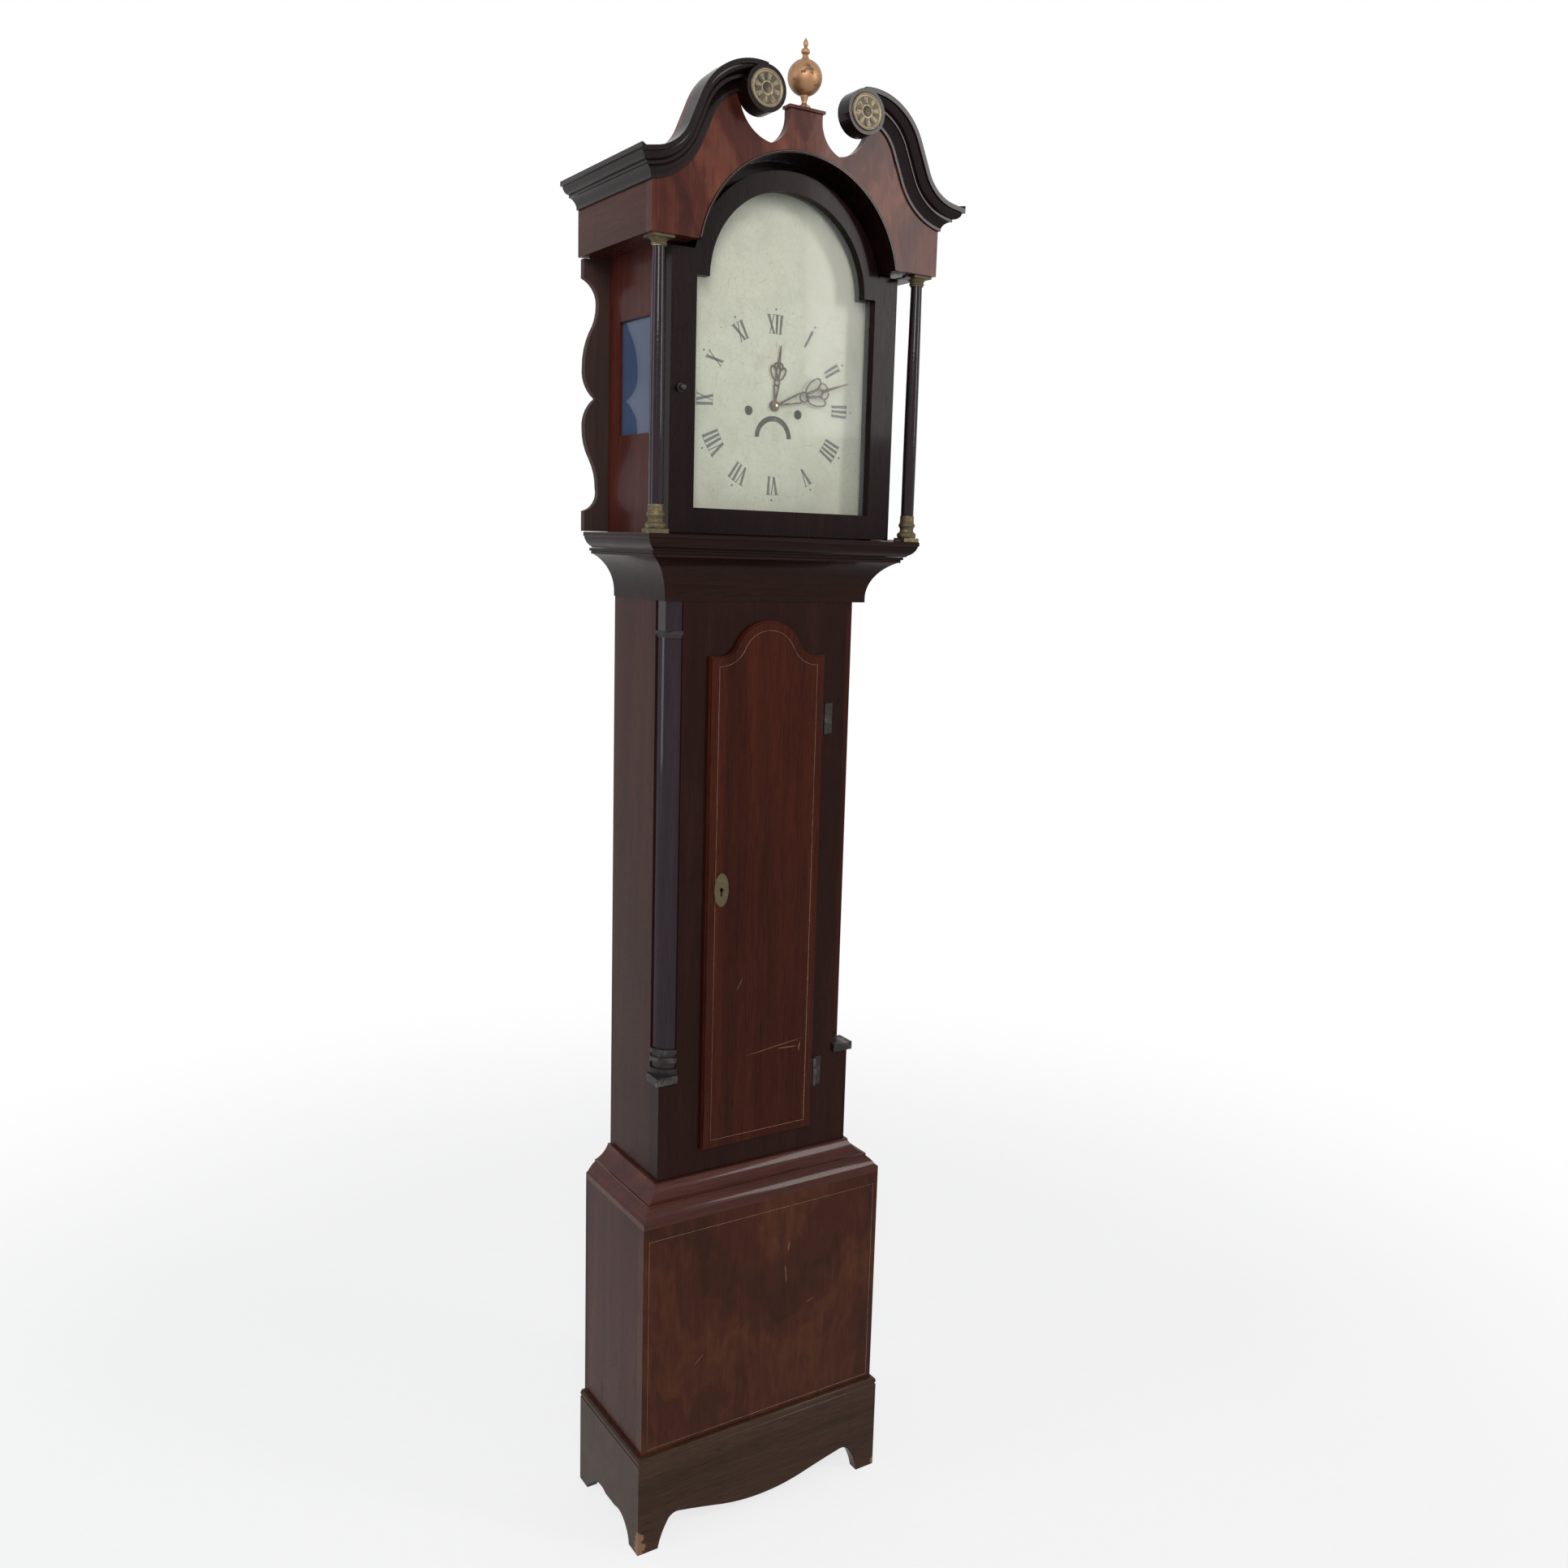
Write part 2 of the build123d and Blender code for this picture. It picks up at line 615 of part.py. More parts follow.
def neck_line(rise):
    # Marks along the right neck at a height above its lower edge, and the lead-in point before them
    def ahead(angle):
        return Vector(math.cos(math.radians(angle)), math.sin(math.radians(angle)))

    def above(angle):
        return ahead(angle - 90)

    course = 180 - NECK_SLOPE
    start = Vector(FRIEZE_HALF, CORNICE_Z)
    low_centre = start + above(course) * NECK_LOW_R
    steep = course - NECK_LOW_TURN
    low_end = low_centre - above(steep) * NECK_LOW_R
    high_start = low_end + ahead(steep) * NECK_STRAIGHT
    high_centre = high_start - above(steep) * NECK_HIGH_R
    level = steep + NECK_HIGH_TURN
    low_r = NECK_LOW_R - rise
    high_r = NECK_HIGH_R + rise

    def mark(point):
        return (point.X, point.Y)

    lead = mark(start + above(course) * rise - ahead(course) * 60)
    return [
        lead,
        mark(low_centre - above(course) * low_r),
        (mark(low_centre - above(course - NECK_LOW_TURN / 2) * low_r),
         mark(low_centre - above(steep) * low_r)),
        mark(high_start + above(steep) * rise),
        (mark(high_centre + above(steep + NECK_HIGH_TURN / 2) * high_r),
         mark(high_centre + above(level) * high_r)),
    ]


NECK_END = neck_line(0)[4][1]
BOSS_X = NECK_END[0] - BOSS_SIDE
BOSS_Z = NECK_END[1] + BOSS_RISE
CENTRE_PLINTH_TOP = BOSS_Z - CENTRE_PLINTH_DROP


def cornice_profile(foot):
    out = CORNICE_OUT
    top = foot + CORNICE_HEIGHT
    return outline(
        (0, foot), (3, foot), (3, foot + 4), ((6, foot + 10), (12.5, foot + 15)), (15, foot + 15),
        (15, foot + 19), ((21.5, foot + 22), (25, foot + 29)), (out, foot + 29.5), (out, top), (0, top))


def swan_necks():
    lead, start, low_arc, high_start, high_arc = neck_line(0)
    path = Curve() + [
        Line(lead, start),
        ThreePointArc(start, low_arc[0], low_arc[1]),
        Line(low_arc[1], high_start),
        ThreePointArc(high_start, high_arc[0], high_arc[1]),
    ]
    course = math.radians(180 - NECK_SLOPE)
    section = Plane(origin=(lead[0], y_at(FRIEZE_FRONT), lead[1]), x_dir=(0, -1, 0),
                    z_dir=(math.cos(course), 0, math.sin(course)))
    neck = sweep(section * cornice_profile(0), path=front_view(FRIEZE_FRONT) * path)
    neck = split(neck, bisect_by=mitre(FRIEZE_HALF, FRIEZE_FRONT), keep=Keep.BOTTOM)
    neck += rod(BOSS_X, BOSS_Z, FRIEZE_FRONT, NECK_FRONT, BOSS_R)
    keep("swan_necks", *both_sides(neck))

    field = NECK_FRONT + 0.8
    crown = NECK_FRONT + ROSETTE_PROUD
    disc = turned(
        BOSS_X, BOSS_Z, (0, NECK_FRONT), (ROSETTE_R, NECK_FRONT), (ROSETTE_R, field),
        ((ROSETTE_R - 2, crown), (ROSETTE_R - 4, field)),
        (ROSETTE_EYE_R, field), dome(ROSETTE_EYE_R, field, crown))
    for i in range(PETALS):
        petal = Rot(0, 0, 360 / PETALS * i) * Pos(PETAL_REACH, 0) * Ellipse(5.5, 3.4)
        disc += panel(petal, field - 0.4, field + 0.7, BOSS_X, BOSS_Z)
    keep("rosettes", *both_sides(disc))


def frieze_board():
    board_top = CENTRE_PLINTH_TOP
    lower = neck_line(0)
    upper = neck_line(CORNICE_HEIGHT - 1)
    under = outline((0, FRIEZE_BOTTOM), (FRIEZE_HALF, FRIEZE_BOTTOM), *lower[1:],
                    (0, lower[4][1][1]))
    band_edges = []
    for line in (lower, upper):
        lead, start, low_arc, high_start, high_arc = line
        band_edges += [
            Line(lead, start),
            ThreePointArc(start, low_arc[0], low_arc[1]),
            Line(low_arc[1], high_start),
            ThreePointArc(high_start, high_arc[0], high_arc[1]),
        ]
    band_edges += [Line(lower[0], upper[0]), Line(lower[4][1], upper[4][1])]
    band = make_face(Curve() + band_edges) & (Pos(0, CORNICE_Z) * Rectangle(2 * FRIEZE_HALF, SPAN))
    side = CENTRE_PLINTH_HALF
    sky = BOSS_Z + BOSS_R
    reach = BOSS_X + side
    scoop = outline(
        (reach, sky), (reach, board_top + 1), ((reach - 20, board_top - 41), (side + 30, board_top - 56)),
        ((side + 11, board_top - 43), (side, board_top - 11)), (side, board_top), (0, board_top), (0, sky))
    shape = two_halves((under - scoop) + band)
    shape -= Pos(0, FRIEZE_ARCH_Z) * Circle(FRIEZE_ARCH_R + LINER)
    back = FRIEZE_FRONT - FRIEZE_BOARD
    front_board = panel(shape, back, FRIEZE_FRONT)
    front_board += board(-side - 3, side + 3, back - 1, FRIEZE_FRONT + 3, board_top - 4, board_top)
    front_board -= post(HOOD_PIVOT_X, HOOD_PIVOT_DEPTH, FRIEZE_BOTTOM - 1, FRIEZE_BOTTOM + 9,
                        HOOD_PIN_R + PIVOT_GAP)
    keep("frieze_board", front_board)


def hood_top():
    back = FRIEZE_FRONT - FRIEZE_BOARD
    inner = FRIEZE_HALF - FRIEZE_BOARD
    rear = BACK_BOARD + BOARD_GAP
    mask_front = MASK_BACK + MASK
    soffit_top = FRIEZE_BOTTOM + SOFFIT
    frieze_return = board(inner, FRIEZE_HALF, 0, back, FRIEZE_BOTTOM, CORNICE_TOP)
    frieze_return += board(HOOD_SIDE_OUT - HOOD_SIDE, inner, rear, back, FRIEZE_BOTTOM, soffit_top)
    frieze_return += board(FRIEZE_ARCH_R + LINER, inner, mask_front, back, FRIEZE_BOTTOM, soffit_top)
    keep("frieze_returns", *both_sides(frieze_return))

    ring = Circle(FRIEZE_ARCH_R + LINER) - Circle(FRIEZE_ARCH_R)
    above = Pos(0, FRIEZE_BOTTOM - FRIEZE_ARCH_Z + SPAN / 2) * Rectangle(SPAN, SPAN)
    keep("arch_liner", panel(ring & above, MASK_BACK, FRIEZE_FRONT + LINER_PROUD, z=FRIEZE_ARCH_Z))

    keep("cornice_returns",
         *both_sides(side_strip(cornice_profile(CORNICE_Z), FRIEZE_HALF, FRIEZE_FRONT)))

    liner_half = math.sqrt((FRIEZE_ARCH_R + LINER) ** 2 - (CORNICE_TOP - FRIEZE_ARCH_Z) ** 2)
    roof = board(-FRIEZE_HALF, FRIEZE_HALF, 0, back, CORNICE_TOP, CORNICE_TOP + ROOF)
    roof -= board(-liner_half - 1, liner_half + 1, MASK_BACK - 0.5, back + 1,
                  CORNICE_TOP - 1, CORNICE_TOP + ROOF + 1)
    keep("hood_roof", roof)


def arched(half, bottom, shoulder, radius):
    # An arch-topped outline: a rectangle with a round head about the dial arch centre
    body = Pos(0, (bottom + shoulder) / 2) * Rectangle(2 * half, shoulder - bottom)
    return body + Pos(0, ARCH_Z) * Circle(radius)


def hood_mask():
    half = HOOD_SIDE_OUT - HOOD_SIDE - BOARD_GAP
    top = CORNICE_TOP - 12
    outer = Pos(0, (HOOD_FLOOR + top) / 2) * Rectangle(2 * half, top - HOOD_FLOOR)
    outer += Pos(0, FRIEZE_ARCH_Z) * Circle(FRIEZE_ARCH_R - BOARD_GAP)
    arch_band = Circle(FRIEZE_ARCH_R + LINER + BOARD_GAP) - Circle(FRIEZE_ARCH_R - BOARD_GAP)
    above = Pos(0, FRIEZE_BOTTOM - BOARD_GAP - FRIEZE_ARCH_Z + SPAN / 2) * Rectangle(SPAN, SPAN)
    outer -= Pos(0, FRIEZE_ARCH_Z) * (arch_band & above)
    outer = outer.faces().sort_by(SortBy.AREA)[-1]
    inner = arched(SIGHT_HALF + 2.5, SIGHT_BOTTOM - 2, ARCH_Z + 2.5, SIGHT_R + 2.5)
    keep("hood_mask", panel(Sketch() + outer - inner, MASK_BACK, MASK_BACK + MASK))


# Hood door

def hood_door():
    front = HOOD_DOOR_BACK + HOOD_DOOR_THICK
    outer = arched(HOOD_DOOR_HALF, HOOD_DOOR_BOTTOM, HOOD_DOOR_SHOULDER, HOOD_DOOR_R)
    sight = arched(SIGHT_HALF, SIGHT_BOTTOM, ARCH_Z, SIGHT_R)
    rebate = arched(SIGHT_HALF + REBATE, SIGHT_BOTTOM - REBATE, ARCH_Z + REBATE, SIGHT_R + REBATE)
    glass_face = arched(SIGHT_HALF + REBATE - BOARD_GAP, SIGHT_BOTTOM - REBATE + BOARD_GAP,
                        ARCH_Z + REBATE - BOARD_GAP, SIGHT_R + REBATE - BOARD_GAP)
    rebate_front = HOOD_DOOR_BACK + 8
    frame = panel(outer - sight, HOOD_DOOR_BACK, front)
    frame -= panel(rebate, HOOD_DOOR_BACK - 1, rebate_front)
    keep("hood_door", frame)
    keep("hood_door_glass", panel(glass_face, rebate_front - GLASS, rebate_front))
    keep("hood_door_knob", turned(
        KNOB_X, KNOB_Z, (0, front), (6, front), (6, front + 1), (2.8, front + 1.5),
        (2.8, front + 3.5), dome(2.8, front + 3.5, front + 13)))


def hood_straps():
    straps = []
    pin_length = 8.0
    for z0 in (HOOD_DOOR_SHOULDER, HOOD_DOOR_BOTTOM - STRAP):
        z1 = z0 + STRAP
        strap = board(HOOD_DOOR_R + 1, HOOD_DOOR_HALF, HOOD_DOOR_BACK + 2, HOOD_DOOR_BACK + 20, z0, z1)
        strap += board(HOOD_PIVOT_X - 6, HOOD_PIVOT_X + 6, HOOD_DOOR_BACK + 14, HOOD_PIVOT_DEPTH, z0, z1)
        strap += post(HOOD_PIVOT_X, HOOD_PIVOT_DEPTH, z0, z1, 6)
        if z0 == HOOD_DOOR_SHOULDER:
            pin = (z0, FRIEZE_BOTTOM + pin_length)
        else:
            pin = (HOOD_FLOOR - pin_length, z1)
        straps.append(strap + post(HOOD_PIVOT_X, HOOD_PIVOT_DEPTH, *pin, HOOD_PIN_R))
    keep("hood_door_straps", *straps)


# Finial: a turned and gilded ball with a spire

def finial():
    z = CENTRE_PLINTH_TOP
    r = FINIAL_BALL_R
    ball = z + 41.5
    tip = z + FINIAL_HEIGHT
    lift = math.sqrt(r * r - 6 * 6)
    keep("finial", upright(
        0, FRIEZE_FRONT - FRIEZE_BOARD / 2, (0, z), (9, z), ((9.5, z + 2), (8, z + 4)),
        ((4, z + 7), (4, z + 11)), (6, ball - lift), ((r, ball), (6, ball + lift)),
        ((4, ball + lift + 5), (3.4, tip - 23)), ((6.2, tip - 19), (3.2, tip - 15)),
        (2, tip - 13), ((3.4, tip - 7), (1.2, tip - 3)), (0, tip)))


# Dial: an arched iron plate on four feet, with winding holes and a calendar mouth

def dial_plate():
    back = DIAL_FRONT - DIAL_PLATE
    face = arched(DIAL_HALF, DIAL_Z - DIAL_HALF, DIAL_Z + DIAL_HALF, DIAL_ARCH_R)
    face -= Pos(0, DIAL_Z) * Circle(CANNON_R + 4)
    for x in (-BARREL_X, BARREL_X):
        face -= Pos(x, BARREL_Z) * Circle(WINDING_HOLE_R)
    mouth = (Circle(MOUTH_OUTER_R) - Circle(MOUTH_INNER_R)) & (Pos(0, 50) * Rectangle(100, 100))
    face -= Pos(0, MOUTH_Z) * mouth
    plate = panel(face, back, DIAL_FRONT)
    for x in (-55, 55):
        for z in (MOUTH_Z - 8, DIAL_Z + 40):
            plate += rod(x, z, FRONT_PLATE + PLATE, back, 3)
    plate += rod(0, MOUTH_Z, back - 6, back, DATE_POST_R) + rod(0, MOUTH_Z, back - 6, back - 4.5, 3.5)
    keep("dial_plate", plate)

    disc_rear = back - 4
    disc = Circle(DATE_DISC_R) - Circle(DATE_POST_R + PIVOT_GAP)
    keep("date_disc", panel(disc, disc_rear, disc_rear + 1, z=MOUTH_Z))


# Wheels

def toothed(teeth, module, share, addendum, dedendum, phase):
    # A disc with straight-sided teeth; share is the part of the pitch that a tooth takes
    pitch_r = teeth * module / 2
    root = pitch_r - dedendum * module
    tip = pitch_r + addendum * module
    step = 2 * math.pi / teeth
    points = []
    for i in range(teeth):
        middle = math.radians(phase) + i * step
        for radius, place in ((root, -0.62), (tip, -0.2), (tip, 0.2), (root, 0.62)):
            angle = middle + place * share * step
            points.append((radius * math.cos(angle), radius * math.sin(angle)))
    return make_face(Polyline(*points, close=True))


def crossed(face, rim_r, hub_r, spokes=4, spoke=2.4):
    # Crossings sawn out of a wheel, leaving a rim, a hub and spokes
    ring = Circle(rim_r) - Circle(hub_r)
    for i in range(spokes // 2):
        ring -= Rot(0, 0, 45 + 180 * i * 2 / spokes) * Rectangle(2 * rim_r + 2, spoke)
    return face - ring


def wheel(teeth, module, phase):
    pitch_r = teeth * module / 2
    return crossed(toothed(teeth, module, 0.36, 0.85, 1.3, phase), pitch_r - 3.2 * module, 5.5)


def pinion(leaves, module, phase):
    return toothed(leaves, module, 0.3, 0.7, 1.35, phase)


def polar(teeth_a, teeth_b, module):
    return (teeth_a + teeth_b) * module / 2


GREAT_MODULE = 2 * math.hypot(BARREL_X, DIAL_Z - BARREL_Z) / (GREAT_TEETH + CENTRE_LEAVES)
CENTRE_REACH = polar(CENTRE_TEETH, THIRD_LEAVES, CENTRE_MODULE)
THIRD_REACH = polar(THIRD_TEETH, ESCAPE_LEAVES, THIRD_MODULE)
THIRD_UP = (ESCAPE_RISE ** 2 + CENTRE_REACH ** 2 - THIRD_REACH ** 2) / (2 * ESCAPE_RISE)
THIRD_X = math.sqrt(CENTRE_REACH ** 2 - THIRD_UP ** 2)
THIRD_Z = DIAL_Z + THIRD_UP
ESCAPE_Z = DIAL_Z + ESCAPE_RISE
ANCHOR_Z = ESCAPE_Z + ESCAPE_TIP_R * math.sqrt(2)
CANNON_MODULE = MOTION_DISTANCE / CANNON_TEETH
HOUR_MODULE = 2 * MOTION_DISTANCE / (HOUR_TEETH + MINUTE_LEAVES)
INNER_BACK = BACK_PLATE + PLATE
PLATE_FRONT = FRONT_PLATE + PLATE
GREAT_DEPTH = INNER_BACK + 3
CENTRE_DEPTH = DRUM_FRONT + 3
THIRD_DEPTH = 104.0
ESCAPE_DEPTH = 95.0
CANNON_DEPTH = PLATE_FRONT + 2
HOUR_DEPTH = CANNON_DEPTH + 6


def bearing(angle_from, angle_to):
    return math.degrees(math.atan2(angle_to[1] - angle_from[1], angle_to[0] - angle_from[0]))


def gap_phase(towards, teeth):
    # Turns a pinion so that a gap, not a leaf, faces its wheel
    return towards + 180 / teeth


def arbor(x, z):
    shaft = rod(x, z, INNER_BACK + SHAKE, FRONT_PLATE - SHAKE, ARBOR_R)
    shaft += rod(x, z, BACK_PLATE, PLATE_FRONT, PIVOT_R)
    return shaft


def barrel(x):
    # A drum between two flanges, with ratchet teeth behind it and a winding square in front
    z = BARREL_Z
    flange_rear = DRUM_REAR - FLANGE
    shaft = rod(x, z, BACK_PLATE, PLATE_FRONT, DRUM_PIVOT_R)
    shaft += rod(x, z, INNER_BACK + SHAKE, PLATE_FRONT, DRUM_ARBOR_R)
    shaft += rod(x, z, DRUM_REAR, DRUM_FRONT, DRUM_R)
    shaft += rod(x, z, flange_rear, DRUM_REAR, DRUM_R + FLANGE_PROUD)
    shaft += rod(x, z, DRUM_FRONT, DRUM_FRONT + FLANGE, DRUM_R + FLANGE_PROUD)
    ratchet = toothed(RATCHET_TEETH, RATCHET_MODULE, 0.8, 0.8, 0.8, 0)
    shaft += panel(ratchet, flange_rear - 1.5, flange_rear, x, z)
    square = Rectangle(WINDING_SQUARE, WINDING_SQUARE)
    shaft += panel(square, PLATE_FRONT, DIAL_FRONT - WINDING_RECESS, x, z)
    return shaft


def going_train():
    centre = (0, DIAL_Z)
    great = (BARREL_X, BARREL_Z)
    third = (THIRD_X, THIRD_Z)
    escape = (0, ESCAPE_Z)

    keep("going_barrel", barrel(BARREL_X))
    great_face = wheel(GREAT_TEETH, GREAT_MODULE, bearing(great, centre))
    great_face += Circle(2 * DRUM_ARBOR_R)
    great_face -= Circle(DRUM_ARBOR_R + PIVOT_GAP)
    keep("going_great_wheel", panel(great_face, GREAT_DEPTH, GREAT_DEPTH + 2.5, *great))

    centre_arbor = rod(0, DIAL_Z, BACK_PLATE, INNER_BACK + SHAKE, PIVOT_R)
    centre_arbor += rod(0, DIAL_Z, INNER_BACK + SHAKE, FRONT_PLATE, CENTRE_ARBOR_R)
    leaves = pinion(CENTRE_LEAVES, GREAT_MODULE, gap_phase(bearing(centre, great), CENTRE_LEAVES))
    centre_arbor += panel(leaves, GREAT_DEPTH - 1.5, GREAT_DEPTH + 4, *centre)
    centre_arbor += panel(wheel(CENTRE_TEETH, CENTRE_MODULE, bearing(centre, third)),
                          CENTRE_DEPTH, CENTRE_DEPTH + WHEEL_THICK, *centre)
    centre_arbor += rod(0, DIAL_Z, FRONT_PLATE, DIAL_FRONT + 5, CANNON_R)
    cannon = wheel(CANNON_TEETH, CANNON_MODULE, 90)
    centre_arbor += panel(cannon, CANNON_DEPTH, CANNON_DEPTH + WHEEL_THICK, *centre)
    centre_arbor += rod(0, DIAL_Z, DIAL_FRONT + 5, DIAL_FRONT + 9, HAND_SQUARE_R)
    keep("centre_wheel", centre_arbor)

    third_arbor = arbor(*third)
    leaves = pinion(THIRD_LEAVES, CENTRE_MODULE, gap_phase(bearing(third, centre), THIRD_LEAVES))
    third_arbor += panel(leaves, CENTRE_DEPTH - 1.5, CENTRE_DEPTH + 4, *third)
    third_arbor += panel(wheel(THIRD_TEETH, THIRD_MODULE, bearing(third, escape)),
                         THIRD_DEPTH, THIRD_DEPTH + WHEEL_THICK, *third)
    keep("third_wheel", third_arbor)

    escape_arbor = arbor(*escape)
    leaves = pinion(ESCAPE_LEAVES, THIRD_MODULE, gap_phase(bearing(escape, third), ESCAPE_LEAVES))
    escape_arbor += panel(leaves, THIRD_DEPTH - 1.5, THIRD_DEPTH + 4, *escape)
    points = []
    for i in range(ESCAPE_TEETH):
        angle = 2 * math.pi * i / ESCAPE_TEETH
        for radius, lead in ((ESCAPE_TIP_R - 4, 0.0), (ESCAPE_TIP_R, 0.09), (ESCAPE_TIP_R - 4, 0.075)):
            points.append((radius * math.cos(angle + lead), radius * math.sin(angle + lead)))
    escape_face = crossed(make_face(Polyline(*points, close=True)), ESCAPE_TIP_R - 6.5, 4.5)
    escape_arbor += panel(escape_face, ESCAPE_DEPTH, ESCAPE_DEPTH + 1.6, *escape)
    keep("escape_wheel", escape_arbor)


def motion_work():
    centre_bore = CANNON_R + PIVOT_GAP
    stud_bore = MINUTE_STUD_R + PIVOT_GAP
    minute_z = DIAL_Z + MOTION_DISTANCE
    minute_face = wheel(CANNON_TEETH, CANNON_MODULE, gap_phase(-90, CANNON_TEETH)) - Circle(stud_bore)
    minute_wheel = panel(minute_face, CANNON_DEPTH, CANNON_DEPTH + WHEEL_THICK, z=minute_z)
    leaves = pinion(MINUTE_LEAVES, HOUR_MODULE, gap_phase(-90, MINUTE_LEAVES)) - Circle(stud_bore)
    minute_wheel += panel(leaves, CANNON_DEPTH + WHEEL_THICK, HOUR_DEPTH + 4, z=minute_z)
    keep("minute_wheel", minute_wheel)

    hour_face = wheel(HOUR_TEETH, HOUR_MODULE, 90) - Circle(centre_bore)
    hour_wheel = panel(hour_face, HOUR_DEPTH, HOUR_DEPTH + WHEEL_THICK, z=DIAL_Z)
    pipe = Circle(CANNON_R + 2.5) - Circle(centre_bore)
    hour_wheel += panel(pipe, HOUR_DEPTH, DIAL_FRONT + 1.6, z=DIAL_Z)
    keep("hour_wheel", hour_wheel)


def loop(x, y, wide, tall, bar, lean=0.0):
    return Pos(x, y) * Rot(0, 0, lean) * (Ellipse(wide, tall) - Ellipse(wide - bar, tall - bar))


def hand(length, hub, bore, bar):
    # A pierced hand, drawn upright: a forked stem, a knot of leaf-shaped loops and a pointed tip
    face = Circle(hub) - Circle(bore)
    stem = hub - 0.6
    fork = length * 0.34
    spread = length * 0.06
    blade = outline((-spread, fork), (-bar, stem), (bar, stem), (spread, fork))
    slot_foot = stem + bar * 3
    slot = outline((-spread + bar, fork + 1), (-0.1, slot_foot), (0.1, slot_foot),
                   (spread - bar, fork + 1))
    face += blade - slot
    leaf = length * 0.125
    middle = fork + length * 0.2
    face += loop(0, fork + spread * 0.8, spread, spread, bar)
    face += loop(0, middle, spread * 0.8, leaf, bar)
    for side in (-1, 1):
        face += loop(side * leaf * 0.66, middle, spread, leaf, bar, lean=-side * 24)
        face += loop(side * spread * 0.7, middle + leaf, spread * 0.8, spread, bar, lean=side * 30)
    shoulder = middle + leaf - bar
    face += outline((-bar * 1.4, shoulder), (bar * 1.4, shoulder), (0.5, length), (-0.5, length))
    return face


def hands():
    hour_rear = DIAL_FRONT + 1.6
    hour_face = hand(HOUR_HAND_LENGTH, 8, CANNON_R + 2 * PIVOT_GAP, HAND_BAR)
    hour = panel(Rot(0, 0, -HOUR_HAND_ANGLE) * hour_face, hour_rear, hour_rear + HAND_THICK, z=DIAL_Z)
    keep("hour_hand", hour)
    minute_rear = DIAL_FRONT + 5
    minute_face = hand(MINUTE_HAND_LENGTH, 6.5, HAND_SQUARE_R + PIVOT_GAP, HAND_BAR)
    turned_face = Rot(0, 0, -MINUTE_HAND_ANGLE) * minute_face
    keep("minute_hand", panel(turned_face, minute_rear, minute_rear + HAND_THICK, z=DIAL_Z))


# Escapement anchor with its crutch, and the pendulum

def anchor():
    z = ANCHOR_Z
    shaft = rod(0, z, COCK_DEPTH, PLATE_FRONT, PIVOT_R)
    shaft += rod(0, z, COCK_DEPTH + PLATE + SHAKE, FRONT_PLATE - SHAKE, ARBOR_R)
    tip = (ESCAPE_TIP_R + 1.6) * math.sqrt(0.5)
    drop = ESCAPE_Z - ANCHOR_Z
    pallet = drop + tip
    arm = outline((0, 4), (tip + 5, -6), (tip + 5, pallet), (tip, pallet), (tip + 1, pallet + 4),
                  (0, -3.5))
    shaft += panel(two_halves(arm) + Circle(4), ESCAPE_DEPTH - 0.7, ESCAPE_DEPTH + 2.3, z=z)
    fork_z = z - 68
    arm_rear = COCK_DEPTH + 9
    arm_front = arm_rear + 2.5
    shaft += board(-3, 3, arm_rear, arm_front, fork_z - 3, z + 4)
    tine = ROD_R + 0.4
    shaft += board(-tine - 2, tine + 2, arm_rear - 3, arm_front, fork_z - 3, fork_z + 3)
    for side in (-1, 1):
        near, far = sorted((side * tine, side * (tine + 2)))
        shaft += board(near, far, PENDULUM_DEPTH - 4, arm_rear - 3, fork_z - 3, fork_z + 3)
    keep("anchor", shaft)


def pendulum():
    bob_z = ANCHOR_Z - PENDULUM_LENGTH
    depth = PENDULUM_DEPTH
    strip_top = ANCHOR_Z + 9.7
    strip_foot = ANCHOR_Z - 22
    end = bob_z - BOB_R - 16
    stem = board(-0.4, 0.4, depth - 3.5, depth + 3.5, strip_foot, strip_top)
    stem += board(-4, 4, depth - 4.5, depth + 4.5, strip_foot - 10, strip_foot)
    stem += post(0, depth, end, strip_foot - 10, ROD_R)
    keep("pendulum_rod", stem)
    edge = 1.5
    half = BOB_THICK / 2
    bob = rod(0, bob_z, depth - edge, depth + edge, BOB_R)
    for rim, crown in ((depth - edge, depth - half), (depth + edge, depth + half)):
        bob += turned(0, bob_z, (0, rim), (BOB_R, rim), dome(BOB_R, rim, crown))
    through = post(0, depth, bob_z - BOB_R - 30, bob_z + BOB_R + 1, ROD_R + PIVOT_GAP)
    nut = post(0, depth, bob_z - BOB_R - 9.5, bob_z - BOB_R - 0.5, 8)
    keep("pendulum_bob", bob - through, nut - through)


# Movement frame: plates, back cock, pillars, seat board, bell and hammer

